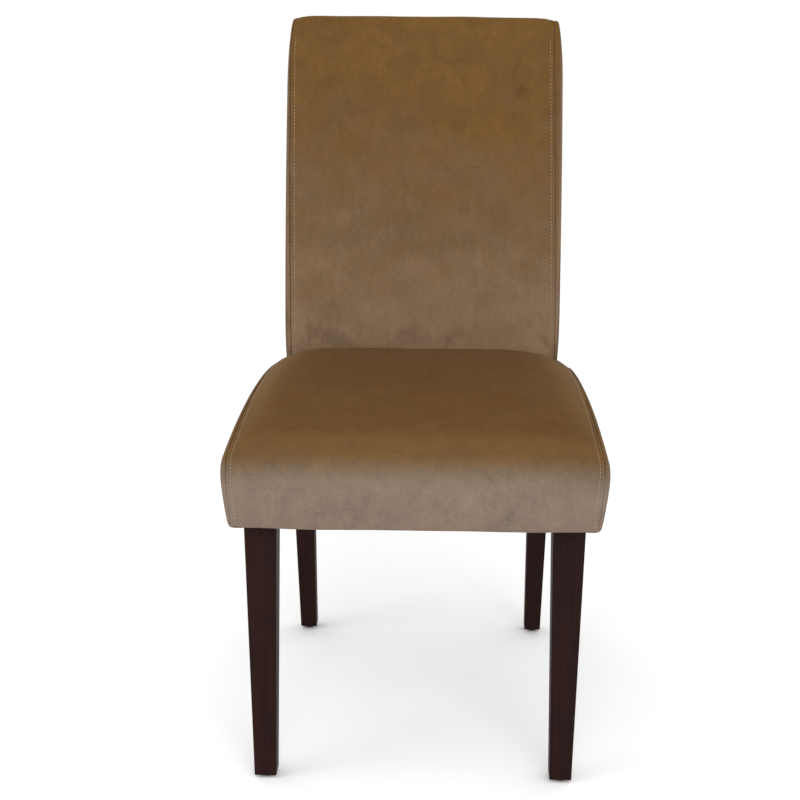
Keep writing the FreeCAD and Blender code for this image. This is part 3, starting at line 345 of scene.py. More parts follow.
def seat_side_sheet():
    """The right side panel: rows along its seam, columns from the seam down and under the rail."""
    d, z = seat_outline(1.0)
    last = len(d) - REAR_HEM_ROWS
    arch_d = d[HEM_ROWS:last]
    arch_z = z[HEM_ROWS:last]
    base_d, base_z = arch_and_base(arch_d, arch_z, np.array([arch_d[0], arch_d[-1]]),
                                   np.array([UNDERSIDE + HEM_ROUNDING] * 2))
    length = np.hypot(base_d - arch_d, base_z - arch_z)[:, None]
    full = side_rounding(arch_d)[:, None]
    near = full * (1.0 - np.cos(ROUNDING_TURNS)) * np.clip(length / (2.0 * full), 0.0, 1.0)
    far = near[:, -1:] + (length - near[:, -1:]) * np.linspace(0.0, 1.0, 17)[1:]
    share = np.concatenate([near, far], axis=1) / np.maximum(length, 1e-6)
    panel_d, panel_z = between((arch_d, arch_z), (base_d, base_z), share)
    inside = distance_to_line(panel_d, panel_z, arch_d, arch_z)
    inside = np.minimum(inside / side_rounding(panel_d), 1.0)
    out = SIDE_BULGE * np.sqrt(1.0 - (1.0 - inside) ** 2)
    fall = np.clip((SIDE_BULGE_HEIGHT - panel_z) / (SIDE_BULGE_HEIGHT - UNDERSIDE), 0.0, 1.0)
    limit = SIDE_BULGE + SIDE_TRIM - (SIDE_BULGE - SIDE_FOOT_BULGE) * fall ** 2
    out = np.where(out < ON_SEAM, out, softer_of(out, limit, SIDE_SOFTNESS))
    sheet = metres(seam_x(panel_d, panel_z) + np.maximum(out, 0.0), panel_d, panel_z)
    under = np.linspace(HEM_ROUNDING, HEM, 4)[1:]
    foot_x = seam_x(base_d, UNDERSIDE)[:, None] + out[:, -1:]
    foot_x = np.concatenate([foot_x - HEM_ROUNDING + HEM_COS, foot_x - under], axis=1)
    foot_z = np.concatenate([UNDERSIDE + HEM_ROUNDING - HEM_SIN, np.full(len(under), UNDERSIDE)])
    hem = metres(*np.broadcast_arrays(foot_x, base_d[:, None], foot_z))
    return np.concatenate([sheet, hem], axis=1)


def seam_drift(side, z):
    """How far outwards a front seam of the back, sewn by hand, strays from its drawn line."""
    low, high = SEAM_DRIFT[side]
    rise = np.clip((z - DRIFT_FROM) / DRIFT_HEIGHT, 0.0, 1.1)
    return np.minimum(low + (high - low) * rise, DRIFT_SHARE * boxing_limit(z))


def back_front_sheet(low):
    columns = []
    for x in from_both_seams(BACK_HALF_WIDTH):
        station = x / BACK_HALF_WIDTH
        d, z = back_outline(station, low)
        drift = (0.5 + 0.5 * station) * seam_drift("right", z)
        drift = drift - (0.5 - 0.5 * station) * seam_drift("left", z)
        columns.append(metres(x + drift, d, z))
    return np.stack(columns, axis=1)


def boxing_limit(z):
    """How far out the boxing may stand, which runs out towards the top."""
    rise = np.clip((z - (HEIGHT - BOXING_FADE_HEIGHT)) / BOXING_FADE_HEIGHT, 0.0, 1.0)
    fall = np.clip((BOXING_PINCH_TOP - z) / BOXING_PINCH_HEIGHT, 0.0, 1.0)
    return BOXING_BULGE + BOXING_TRIM - BOXING_FADE * rise ** 2 - BOXING_PINCH * fall ** 2


def back_side_sheet(low, side):
    """A boxing strip, drawn on the right: rows upwards, columns from its front to its rear seam."""
    arch_d, arch_z = back_outline(1.0, low)
    angles = np.linspace(angle_at(low, BACK_REAR_RHO), back_top(1.0)[-1], 60)
    rear_d, rear_z = polar(BACK_REAR_RHO, angles)
    base_d, base_z = arch_and_base(arch_d, arch_z, rear_d, rear_z)
    length = np.hypot(base_d - arch_d, base_z - arch_z)
    squeeze = np.clip(length / (BOXING_ROUNDING + BOXING_ROOM), 0.0, 1.0)[:, None]
    near = BOXING_ROUNDING * (1.0 - np.cos(ROUNDING_TURNS)) * squeeze
    rear_turns = np.linspace(0.0, math.pi / 2.0, 6)
    end = length[:, None] - BOXING_REAR_ROLL * squeeze
    flat = near[:, -1:] + (end - near[:, -1:]) * np.linspace(0.0, 1.0, 7)[None, 1:]
    far = end + BOXING_REAR_ROLL * squeeze * np.sin(rear_turns)[None, 1:]
    steps = np.concatenate([near, flat, far], axis=1)
    share = steps / np.maximum(length[:, None], 1e-6)
    panel_d, panel_z = between((arch_d, arch_z), (base_d, base_z), share)
    inside = np.minimum(distance_to_line(panel_d, panel_z, arch_d, arch_z), BOXING_ROUNDING)
    out = BOXING_BULGE * np.sqrt(1.0 - (1.0 - inside / BOXING_ROUNDING) ** 2)
    limit = boxing_limit(panel_z)
    out = np.where(out < ON_SEAM, out, softer_of(out, limit, BOXING_SOFTNESS))
    drop = np.zeros_like(out)
    drop[:, -5:] = BOXING_REAR_ROLL * (1.0 - np.cos(rear_turns))[None, 1:]
    falling = drop > 0.0
    seam = np.minimum(out, REAR_HALF_WIDTH - BACK_HALF_WIDTH + BOXING_REAR_ROLL)
    drop = drop * np.clip(out / REAR_SEAM_REACH, 0.0, 1.0)
    out = np.maximum(np.where(falling, seam, out) - drop, 0.0)
    free = np.clip(1.0 - out / limit, 0.0, 1.0) * np.clip(1.0 - share, 0.0, 1.0)
    out = out + seam_drift(side, panel_z) * free
    return metres(BACK_HALF_WIDTH + out, panel_d, panel_z)


def back_rear_sheet(side):
    """The rear panel, whose side edges follow the boxing's rear edges."""
    edge = side[:, -1, :]
    low = edge[0, 2] * 1000.0
    columns = []
    for x in from_both_seams(REAR_HALF_WIDTH):
        station = x / REAR_HALF_WIDTH
        d, z = rear_outline(station, low)
        edge_x = np.interp(z, edge[:, 2] * 1000.0, edge[:, 0] * 1000.0)
        columns.append(metres(station * edge_x, d, z))
    return np.stack(columns, axis=1)


# Meshes

def welded(mesh):
    """A mesh opened for editing, with its double points joined."""
    body = bmesh.new()
    body.from_mesh(mesh)
    bmesh.ops.remove_doubles(body, verts=body.verts, dist=1e-5)
    return body


def written(body, name):
    """A new mesh of what was edited."""
    mesh = bpy.data.meshes.new(name)
    body.to_mesh(mesh)
    body.free()
    return mesh


def as_mesh(name, points, keep=None):
    """A mesh of quads on a sheet of points, without the quads that keep leaves out."""
    rows, columns = points.shape[:2]
    index = np.arange(rows * columns).reshape(rows, columns)
    quads = np.stack([index[:-1, :-1], index[:-1, 1:], index[1:, 1:], index[1:, :-1]], axis=-1)
    if keep is not None:
        wanted = keep[:-1, :-1] | keep[:-1, 1:] | keep[1:, 1:] | keep[1:, :-1]
        quads = quads[wanted]
    mesh = bpy.data.meshes.new(name)
    mesh.from_pydata(points.reshape(-1, 3).tolist(), [], quads.reshape(-1, 4).tolist())
    mesh.update()
    body = welded(mesh)
    bmesh.ops.dissolve_degenerate(body, edges=body.edges, dist=1e-6)
    loose = [vertex for vertex in body.verts if not vertex.link_faces]
    bmesh.ops.delete(body, geom=loose, context="VERTS")
    body.to_mesh(mesh)
    body.free()
    return mesh


def smooth(mesh):
    mesh.polygons.foreach_set("use_smooth", [True] * len(mesh.polygons))


def shown_object(name, mesh, material):
    old = bpy.data.objects.get(name)
    if old is not None:
        bpy.data.objects.remove(old)
    piece = bpy.data.objects.new(name, mesh)
    bpy.context.scene.collection.objects.link(piece)
    mesh.materials.clear()
    mesh.materials.append(material)
    smooth(mesh)
    return piece


def face_away(mesh, centre):
    """Turns a sheet so that it faces away from a point, going by most of its area."""
    total = 0.0
    for face in mesh.polygons:
        total += face.area * face.normal.dot(face.center - centre)
    if total < 0.0:
        mesh.flip_normals()


def lined(piece, thickness):
    """Gives a sheet its thickness on the inside, and one smoothing step."""
    solid = piece.modifiers.new("Thickness", "SOLIDIFY")
    solid.thickness = thickness
    solid.offset = -1.0
    solid.use_even_offset = False
    finer = piece.modifiers.new("Smooth", "SUBSURF")
    finer.levels = 1
    finer.render_levels = 1


def baked(piece):
    """Replaces a piece's mesh by what its modifiers make of it."""
    graph = bpy.context.evaluated_depsgraph_get()
    mesh = bpy.data.meshes.new_from_object(piece.evaluated_get(graph))
    old = piece.data
    piece.modifiers.clear()
    piece.data = mesh
    bpy.data.meshes.remove(old)
    return piece


# What repeats along a line

class Tree:
    """A node tree, with one call that adds a node and sets or links its inputs."""

    prefix = ""

    def put(self, socket, value):
        if isinstance(value, bpy.types.NodeSocket):
            self.tree.links.new(value, socket)
        else:
            socket.default_value = value

    def add(self, kind, inputs=None, **settings):
        node = self.tree.nodes.new(self.prefix + kind)
        for name, value in settings.items():
            setattr(node, name, value)
        for name, value in (inputs or {}).items():
            self.put(node.inputs[name], value)
        return node


class Pattern(Tree):
    """A geometry node tree that lays a small unit again and again along a line."""

    def __init__(self, name, sizes):
        old = bpy.data.node_groups.get(name)
        if old is not None:
            bpy.data.node_groups.remove(old)
        self.tree = bpy.data.node_groups.new(name, "GeometryNodeTree")
        self.tree.is_modifier = True
        sockets = self.tree.interface
        sockets.new_socket("Geometry", in_out="INPUT", socket_type="NodeSocketGeometry")
        self.identifiers = {}
        for label in sizes:
            socket = sockets.new_socket(label, in_out="INPUT", socket_type="NodeSocketFloat")
            self.identifiers[label] = socket.identifier
        sockets.new_socket("Geometry", in_out="OUTPUT", socket_type="NodeSocketGeometry")
        self.given = self.tree.nodes.new("NodeGroupInput")
        self.result = self.tree.nodes.new("NodeGroupOutput")

    def size(self, label):
        return self.given.outputs[label]

    def vector(self, x, y, z):
        return self.add("ShaderNodeCombineXYZ", {"X": x, "Y": y, "Z": z}).outputs[0]

    def along(self, unit, pitch, axis, material):
        """Lays unit along the given edges, its axis in line with them."""
        line = self.add("GeometryNodeMeshToCurve", {"Mesh": self.size("Geometry")})
        spaced_out = self.add("GeometryNodeResampleCurve",
                              {"Curve": line.outputs[0], "Length": self.size(pitch)}, mode="LENGTH")
        tangent = self.add("GeometryNodeInputTangent")
        turned = self.add("FunctionNodeAlignRotationToVector", {"Vector": tangent.outputs[0]},
                          axis=axis)
        uneven = self.add("FunctionNodeRandomValue", {"Seed": 7, 2: 0.92, 3: 1.06},
                          data_type="FLOAT")
        laid = self.add("GeometryNodeInstanceOnPoints", {
            "Points": spaced_out.outputs[0], "Instance": unit, "Rotation": turned.outputs[0],
            "Scale": uneven.outputs[1]})
        real = self.add("GeometryNodeRealizeInstances", {"Geometry": laid.outputs[0]})
        dressed = self.add("GeometryNodeSetMaterial",
                           {"Geometry": real.outputs[0], "Material": material})
        self.tree.links.new(dressed.outputs[0], self.result.inputs[0])


def stitch_pattern(material):
    """One thread stitch, thick in the middle, that sinks into the cover at both ends."""
    pattern = Pattern("topstitch", ("Pitch", "Length", "Radius"))
    ball = pattern.add("GeometryNodeMeshUVSphere", {"Segments": 8, "Rings": 6, "Radius": 1.0})
    half = pattern.add("ShaderNodeMath", {0: pattern.size("Length"), 1: 0.5}, operation="MULTIPLY")
    thick = pattern.size("Radius")
    unit = pattern.add("GeometryNodeTransform", {
        "Geometry": ball.outputs[0], "Scale": pattern.vector(thick, thick, half.outputs[0])})
    pattern.along(unit.outputs[0], "Pitch", "Z", material)
    return pattern


def staple_pattern(material):
    """One staple: a flattened wire crown whose legs go up into the wood."""
    pattern = Pattern("staples", ("Pitch", "Half length", "Radius"))
    half = pattern.size("Half length")
    other = pattern.add("ShaderNodeMath", {0: half, 1: -1.0}, operation="MULTIPLY").outputs[0]
    crown = pattern.add("GeometryNodeCurvePrimitiveBezierSegment", {
        "Resolution": 9,
        "Start": pattern.vector(other, 0.0, 0.0016),
        "Start Handle": pattern.vector(other, 0.0, -0.0009),
        "End Handle": pattern.vector(half, 0.0, -0.0009),
        "End": pattern.vector(half, 0.0, 0.0016)})
    wire = pattern.add("GeometryNodeCurvePrimitiveCircle",
                       {"Resolution": 6, "Radius": pattern.size("Radius")})
    unit = pattern.add("GeometryNodeCurveToMesh", {
        "Curve": crown.outputs[0], "Profile Curve": wire.outputs[0], "Fill Caps": True})
    pattern.along(unit.outputs[0], "Pitch", "X", material)
    return pattern


def laid_along(name, lines, pattern, values, material):
    """Makes one piece of all the units that a pattern lays along some lines of points."""
    points = [tuple(point) for line in lines for point in line]
    edges = []
    start = 0
    for line in lines:
        edges += [(start + step, start + step + 1) for step in range(len(line) - 1)]
        start += len(line)
    mesh = bpy.data.meshes.new(name)
    mesh.from_pydata(points, edges, [])
    piece = shown_object(name, mesh, material)
    modifier = piece.modifiers.new("Laid", "NODES")
    modifier.node_group = pattern.tree
    for label, value in values.items():
        modifier[pattern.identifiers[label]] = value
    baked(piece)
    smooth(piece.data)
    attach(piece, "root")
    return piece


# Materials

def linear(colour):
    """A colour given as on screen, each part from 0 to 255, as the shader takes it."""
    parts = []
    for value in colour:
        share = value / 255.0
        parts.append(share / 12.92 if share <= 0.04045 else ((share + 0.055) / 1.055) ** 2.4)
    return (*parts, 1.0)


class Nodes(Tree):
    """A material's node tree, with short calls for what the finishes share."""

    prefix = "ShaderNode"

    def __init__(self, name):
        old = bpy.data.materials.get(name)
        if old is not None:
            bpy.data.materials.remove(old)
        self.material = bpy.data.materials.new(name)
        self.material.use_nodes = True
        self.tree = self.material.node_tree
        self.shader = self.tree.nodes["Principled BSDF"]

    def place(self, scale=(1.0, 1.0, 1.0)):
        """Object coordinates in metres, stretched by scale."""
        where = self.add("TexCoord").outputs["Object"]
        return self.add("Mapping", {"Vector": where, "Scale": scale}).outputs["Vector"]

    def noise(self, place, scale, detail=3.0, rough=0.5, distortion=0.0):
        return self.add("TexNoise", {"Vector": place, "Scale": scale, "Detail": detail,
                                     "Roughness": rough, "Distortion": distortion}).outputs["Fac"]

    def bands(self, place, direction, **inputs):
        return self.add("TexWave", {"Vector": place, **inputs}, wave_type="BANDS",
                        bands_direction=direction).outputs["Fac"]

    def ranged(self, value, low, high, to_low, to_high):
        return self.add("MapRange", {"Value": value, "From Min": low, "From Max": high,
                                     "To Min": to_low, "To Max": to_high}).outputs["Result"]

    def swayed(self, value, source, low, high, amount):
        """A value with another added to it, which then runs from -amount to amount."""
        return self.maths("ADD", value, self.ranged(source, low, high, -amount, amount))

    def ramp(self, value, stops):
        """A colour ramp through stops of a position and a screen colour."""
        node = self.add("ValToRGB", {"Fac": value})
        elements = node.color_ramp.elements
        while len(elements) < len(stops):
            elements.new(0.5)
        for element, (position, colour) in zip(elements, stops):
            element.position = position
            element.color = linear(colour)
        return node.outputs["Color"]

    def maths(self, operation, first, second):
        return self.add("Math", {0: first, 1: second}, operation=operation).outputs["Value"]

    def mixed(self, share, first, second, blend="MIX"):
        return self.add("Mix", {"Factor": share, 6: first, 7: second}, data_type="RGBA",
                        blend_type=blend).outputs[2]

    def blended(self, first, first_share, second, second_share):
        """The sum of two values, each taken by its share."""
        return self.maths("ADD", self.maths("MULTIPLY", first, first_share),
                          self.maths("MULTIPLY", second, second_share))

    def bump(self, height, strength, distance, under=None):
        inputs = {"Height": height, "Strength": strength, "Distance": distance}
        if under is not None:
            inputs["Normal"] = under
        return self.add("Bump", inputs).outputs["Normal"]

    def finish(self, **values):
        for name, value in values.items():
            self.put(self.shader.inputs[name.replace("_", " ")], value)
        return self.material


def velvet_material(name, colours, painted_highlight):
    """Velvet with painted sheen and shade, its colour picked by which way it faces.

    It is golden where it faces up and a paler, greyish taupe where it stands upright.
    The seat also gets a painted highlight in front of painted_highlight, a pair of places along y.
    """
    nodes = Nodes(name)
    place = nodes.place()
    normal = nodes.add("NewGeometry").outputs["Normal"]
    upward = nodes.add("SeparateXYZ", {"Vector": normal}).outputs["Z"]
    lay = nodes.noise(place, 9.0, 4.0, 0.55, 0.6)
    cloud = nodes.noise(place, 26.0, 5.0, 0.6, 0.8)
    strokes = nodes.noise(nodes.place((1.0, 1.0, 0.45)), 62.0, 4.0, 0.6, 1.0)
    grain = nodes.noise(place, 330.0, 3.0, 0.65)
    pile = nodes.noise(place, 900.0, 2.0, 0.6)
    tilt = nodes.swayed(upward, lay, 0.3, 0.7, 0.018)
    tilt = nodes.swayed(tilt, cloud, 0.3, 0.7, 0.02)
    if painted_highlight is not None:
        along = nodes.add("SeparateXYZ", {"Vector": place}).outputs["Y"]
        # painted highlight: near the seat's front the colour is pushed towards the paler end
        tilt = nodes.maths("SUBTRACT", tilt, nodes.ranged(along, *painted_highlight, 0.069, 0.0))
    # painted sheen and shade: the base colour follows which way the surface faces
    base = nodes.ramp(nodes.ranged(tilt, -0.15, 1.0, 0.0, 1.0), colours)
    shade = nodes.ranged(cloud, 0.35, 0.68, -0.08, 0.08)
    shade = nodes.swayed(shade, lay, 0.35, 0.65, 0.04)
    shade = nodes.swayed(shade, strokes, 0.35, 0.65, 0.06)
    # nap marks, and the painted shade of the left boxing, darken the colour
    marks = nodes.add("Attribute", attribute_name="nap_marks_and_painted_shade").outputs["Fac"]
    broken = nodes.ranged(nodes.noise(place, 140.0, 4.0, 0.65, 1.2), 0.35, 0.65, 0.3, 1.5)
    shade = nodes.maths("SUBTRACT", shade, nodes.maths("MULTIPLY", marks, broken))
    shade = nodes.swayed(shade, grain, 0.35, 0.65, 0.06)
    shade = nodes.swayed(shade, pile, 0.3, 0.7, 0.05)
    level = nodes.maths("ADD", shade, 1.0)
    grey = nodes.add("CombineColor", {"Red": level, "Green": level, "Blue": level})
    colour = nodes.mixed(1.0, base, grey.outputs["Color"], "MULTIPLY")
    weave = nodes.bands(place, "X", Scale=260.0, Distortion=0.6, Detail=1.0)
    normal = nodes.bump(weave, 0.06, 0.0003)
    normal = nodes.bump(pile, 0.35, 0.0004, normal)
    normal = nodes.bump(cloud, 0.08, 0.0012, normal)
    rough = nodes.ranged(lay, 0.3, 0.7, 0.9, 1.0)
    return nodes.finish(Base_Color=colour, Roughness=rough, Normal=normal, Sheen_Weight=0.1,
                        Sheen_Roughness=0.5, Sheen_Tint=linear((196, 170, 140)),
                        Specular_IOR_Level=0.06)


def espresso_material():
    """Dark stained hardwood under satin lacquer, with reddish grain along the legs."""
    nodes = Nodes("espresso_wood")
    place = nodes.place((1.0, 1.0, 0.06))
    grain = nodes.noise(place, 210.0, 6.0, 0.62, 0.5)
    figure = nodes.noise(place, 34.0, 4.0, 0.55, 1.4)
    colour = nodes.ramp(nodes.blended(grain, 0.55, figure, 0.45), (
        (0.30, (22, 7, 6)), (0.48, (29, 11, 9)), (0.60, (38, 15, 11)), (0.74, (24, 9, 8))))
    pores = nodes.noise(nodes.place((1.0, 1.0, 0.03)), 620.0, 3.0, 0.5)
    return nodes.finish(Base_Color=colour, Roughness=nodes.ranged(figure, 0.3, 0.7, 0.5, 0.62),
                        Normal=nodes.bump(pores, 0.12, 0.0004), Specular_IOR_Level=0.09)


def raw_wood_material():
    """Plain beech of the hidden frame."""
    nodes = Nodes("frame_beech")
    grain = nodes.noise(nodes.place((0.08, 1.0, 1.0)), 160.0, 5.0, 0.6, 0.6)
    flecks = nodes.noise(nodes.place((0.3, 1.0, 1.0)), 700.0, 2.0, 0.5)
    colour = nodes.ramp(grain, (
        (0.3, (176, 128, 88)), (0.55, (201, 158, 115)), (0.75, (187, 140, 99))))
    colour = nodes.mixed(nodes.ranged(flecks, 0.6, 0.75, 0.0, 0.35), colour,
                         linear((146, 98, 66)))
    return nodes.finish(Base_Color=colour, Roughness=nodes.ranged(grain, 0.3, 0.7, 0.55, 0.7),
                        Normal=nodes.bump(grain, 0.15, 0.0004))


def metal_material(name, light, dark, roughness):
    """Plated metal with a brushed, slightly uneven finish."""
    nodes = Nodes(name)
    cloud = nodes.noise(nodes.place(), 240.0, 4.0, 0.6)
    fine = nodes.noise(nodes.place((1.0, 1.0, 8.0)), 900.0, 2.0, 0.5)
    rough = nodes.ranged(fine, 0.3, 0.7, roughness - 0.07, roughness + 0.08)
    return nodes.finish(Base_Color=nodes.ramp(cloud, ((0.3, dark), (0.7, light))), Metallic=1.0,
                        Roughness=rough, Normal=nodes.bump(fine, 0.08, 0.0002))


def woven_material(name, light, dark, scale, roughness):
    """A plain weave of threads that cross, for webbing and cambric."""
    nodes = Nodes(name)
    place = nodes.place()
    threads = [nodes.bands(place, way, Scale=scale, Distortion=0.8) for way in ("X", "Y")]
    crossing = nodes.maths("MULTIPLY", *threads)
    cloud = nodes.noise(place, 60.0, 4.0, 0.6)
    colour = nodes.ramp(nodes.blended(crossing, 0.6, cloud, 0.4), ((0.15, dark), (0.75, light)))
    return nodes.finish(Base_Color=colour, Roughness=roughness,
                        Normal=nodes.bump(crossing, 0.5, 0.0005), Sheen_Weight=0.1)


def padding_material(name, light, dark, scale, depth):
    """Foam cells or loose fibres, by scale and depth."""
    nodes = Nodes(name)
    place = nodes.place()
    cells = nodes.add("TexVoronoi", {"Vector": place, "Scale": scale}).outputs["Distance"]
    cloud = nodes.noise(place, 40.0, 4.0, 0.6)
    colour = nodes.ramp(nodes.blended(cells, 0.7, cloud, 0.5), ((0.2, dark), (0.7, light)))
    return nodes.finish(Base_Color=colour, Roughness=0.9, Normal=nodes.bump(cells, 0.4, depth))


def flecked_material(name, light, dark, noise_values, roughness, bump):
    """A plain surface whose colour varies between two, for card, thread and floor."""
    nodes = Nodes(name)
    flecks = nodes.noise(nodes.place(), *noise_values)
    values = {"Base_Color": nodes.ramp(flecks, ((0.3, dark), (0.7, light)))}
    if bump is not None:
        values["Normal"] = nodes.bump(flecks, *bump)
    return nodes.finish(Roughness=roughness, **values)


WOOD_SHOWN = ("front_leg_right", "front_leg_left", "rear_post_right", "rear_post_left")
WOOD_HIDDEN = (
    "seat_rail_right", "seat_rail_left", "seat_rail_front", "seat_rail_rear",
    "back_rail_top", "back_rail_middle", "back_rail_bottom",
    "corner_block_front_right", "corner_block_front_left",
    "corner_block_rear_right", "corner_block_rear_left", "rail_dowels",
)
STEEL = ("hanger_bolts", "washers", "nuts", "corner_block_screws")
STRAPS = ("seat_straps_lengthwise", "seat_straps_crosswise",
          "back_straps_upright", "back_straps_cross")

# Darker marks in the pile: x and z or d of the middle, half sizes and strength
BACK_MARKS = (
    (150.0, 893.0, 11.0, 11.0, 0.20), (20.0, 945.0, 16.0, 10.0, 0.12), (45.0, 958.0, 9.0, 7.0, 0.14),
    (52.0, 940.0, 10.0, 6.0, 0.12), (-150.0, 905.0, 22.0, 14.0, 0.08),
    (-120.0, 860.0, 28.0, 18.0, 0.07), (-172.0, 521.0, 8.0, 10.0, 0.14),
    (-132.0, 520.0, 12.0, 6.0, 0.12), (36.0, 522.0, 12.0, 7.0, 0.14),
    (60.0, 533.0, 7.0, 5.0, 0.10), (95.0, 610.0, 30.0, 24.0, 0.05), (-60.0, 700.0, 44.0, 26.0, 0.05),
)
SEAT_MARKS = (
    (118.0, 378.0, 9.0, 7.0, 0.22), (125.0, 377.0, 4.0, 3.0, -0.10), (-66.0, 400.0, 7.0, 16.0, 0.14),
    (-118.0, 378.0, 8.0, 4.0, 0.14), (-88.0, 430.0, 22.0, 4.0, 0.08), (-60.0, 446.0, 3.0, 24.0, 0.06),
    (-40.0, 384.0, 12.0, 5.0, 0.08), (60.0, 425.0, 30.0, 14.0, 0.05),
)


def mark_pile(piece, marks, shade):
    """Writes how much darker the brushed and pressed places are, plus an even painted shade given by
    shade, as an attribute of the mesh.
    """
    values = []
    for vertex in piece.data.vertices:
        x, z = vertex.co.x * 1000.0, vertex.co.z * 1000.0
        total = shade
        for middle_x, middle_z, wide, high, strength in marks:
            reach = ((x - middle_x) / wide) ** 2 + ((z - middle_z) / high) ** 2
            if reach < 9.0:
                total += strength * math.exp(-reach)
        values.append(total)
    attribute = piece.data.attributes.new("nap_marks_and_painted_shade", "FLOAT", "POINT")
    attribute.data.foreach_set("value", values)


def hand_of_velvet(points, amount):
    """Lets a sheet of points wander a little, as soft padding does under a cover."""
    normals = grid_normals(points)
    for row in range(points.shape[0]):
        for column in range(points.shape[1]):
            where = Vector(points[row, column])
            sway = noise.noise(where * 11.0) + 0.5 * noise.noise(where * 27.0)
            points[row, column] += normals[row, column] * sway * amount
    return points


def length(name, description, default, least, most):
    return bpy.props.FloatProperty(name=name, description=description, default=default, min=least,
                                   max=most, unit="LENGTH", subtype="DISTANCE")


class ChairVelvetSettings(bpy.types.PropertyGroup):
    """Sizes of the velvet covers and their seams."""

    cover_thickness: length("Cover thickness", "Velvet with its backing", 0.0012, 0.0005, 0.003)
    seam_radius: length("Seam rounding", "Radius with which a cover dips into its seam", 0.0012,
                        0.0006, 0.005)
    stitch_pitch: length("Stitch pitch", "Distance from one stitch to the next", 0.0055, 0.002,
                         0.012)
    stitch_length: length("Stitch length", "Length of the thread that shows", 0.0038, 0.001,
                          0.008)
    thread_radius: length("Thread radius", "Half the thickness of the topstitching thread",
                          0.0004, 0.0002, 0.001)
    unevenness: length("Unevenness", "How far the padding wanders under the covers", 0.0009, 0.0,
                       0.004)


class ChairStageSettings(bpy.types.PropertyGroup):
    """The studio round the chair."""

    floor_size: length("Floor size", "Side of the square floor", 14.0, 4.0, 40.0)
    backdrop_white: bpy.props.FloatVectorProperty(
        name="Backdrop", description="Colour of the studio round the chair",
        default=(1.0, 1.0, 1.0), min=0.0, max=1.0, subtype="COLOR")
    backdrop_strength: bpy.props.FloatProperty(
        name="Backdrop strength", description="Brightness of the studio round the chair",
        default=1.0, min=0.0, max=5.0)
    key_power: bpy.props.FloatProperty(
        name="Front light", description="Power of the large soft light above the camera",
        default=55.0, min=0.0, max=1000.0, unit="POWER")


# The camera, fitted to the outlines in the photograph: its place in metres, its turns in degrees,
# and its lens and shift in pixels of the square picture
CAMERA_PLACE = (0.037, -2.0111, 0.930)
CAMERA_YAW = 1.0
CAMERA_PITCH = 12.8
CAMERA_ROLL = 0.5
PICTURE_PIXELS = 800.0
LENS_PIXELS = 1425.1
SHIFT_PIXELS = (-21.0, -9.8)
SENSOR_WIDTH = 36.0

# Power of the light at the side, as a share of the front one's
SIDE_LIGHT_SHARE = 0.35


class CHAIR_OT_stage(bpy.types.Operator):
    """Builds the floor, the lights and the camera"""

    bl_idname = "chair.stage"
    bl_label = "Studio"

    def execute(self, context):
        settings = context.scene.chair_stage
        half = settings.floor_size / 2.0
        body = bmesh.new()
        bmesh.ops.create_grid(body, x_segments=8, y_segments=8, size=half)
        white = flecked_material("studio_floor", (255, 255, 255), (253, 253, 253),
                                 (1.5, 2.0, 0.5), 0.9, None)
        floor = shown_object("studio_floor", written(body, "studio_floor"), white)
        world = bpy.data.worlds.new("studio")
        world.use_nodes = True
        backdrop = world.node_tree.nodes["Background"]
        backdrop.inputs["Color"].default_value = (*settings.backdrop_white, 1.0)
        backdrop.inputs["Strength"].default_value = settings.backdrop_strength
        context.scene.world = world
        context.scene.view_settings.view_transform = "Standard"
        self.add_light("front_light", (0.5, -3.2, 2.3), (0.0, -0.1, 0.55), 2.4,
                       settings.key_power)
        self.add_light("side_light", (-2.6, -1.2, 2.2), (0.0, 0.0, 0.6), 1.8,
                       SIDE_LIGHT_SHARE * settings.key_power)
        self.add_camera(context)
        return {"FINISHED"}

    @staticmethod
    def add_light(name, place, target, size, power):
        lamp = bpy.data.lights.new(name, "AREA")
        lamp.shape = "SQUARE"
        lamp.size = size
        lamp.energy = power
        light = bpy.data.objects.new(name, lamp)
        light.location = place
        away = Vector(place) - Vector(target)
        light.rotation_euler = away.to_track_quat("Z", "Y").to_euler()
        bpy.context.scene.collection.objects.link(light)

    @staticmethod
    def add_camera(context):
        """The camera stands in front of the chair, above the seat and a little to its right."""
        turns = (CAMERA_YAW, CAMERA_PITCH, CAMERA_ROLL)
        yaw, pitch, roll = (math.radians(turn) for turn in turns)
        ahead = Vector((-math.sin(yaw) * math.cos(pitch), math.cos(yaw) * math.cos(pitch),
                        -math.sin(pitch)))
        level = Vector((math.cos(yaw), math.sin(yaw), 0.0))
        upright = level.cross(ahead)
        right = math.cos(roll) * level + math.sin(roll) * upright
        up = math.cos(roll) * upright - math.sin(roll) * level
        lens = bpy.data.cameras.new("camera")
        lens.sensor_width = SENSOR_WIDTH
        lens.lens = LENS_PIXELS / PICTURE_PIXELS * SENSOR_WIDTH
        lens.shift_x = SHIFT_PIXELS[0] / PICTURE_PIXELS
        lens.shift_y = SHIFT_PIXELS[1] / PICTURE_PIXELS
        camera = bpy.data.objects.new("camera", lens)
        turned = Matrix((right, up, -ahead)).transposed()
        camera.matrix_world = Matrix.Translation(CAMERA_PLACE) @ turned.to_4x4()
        context.scene.collection.objects.link(camera)
        context.scene.camera = camera


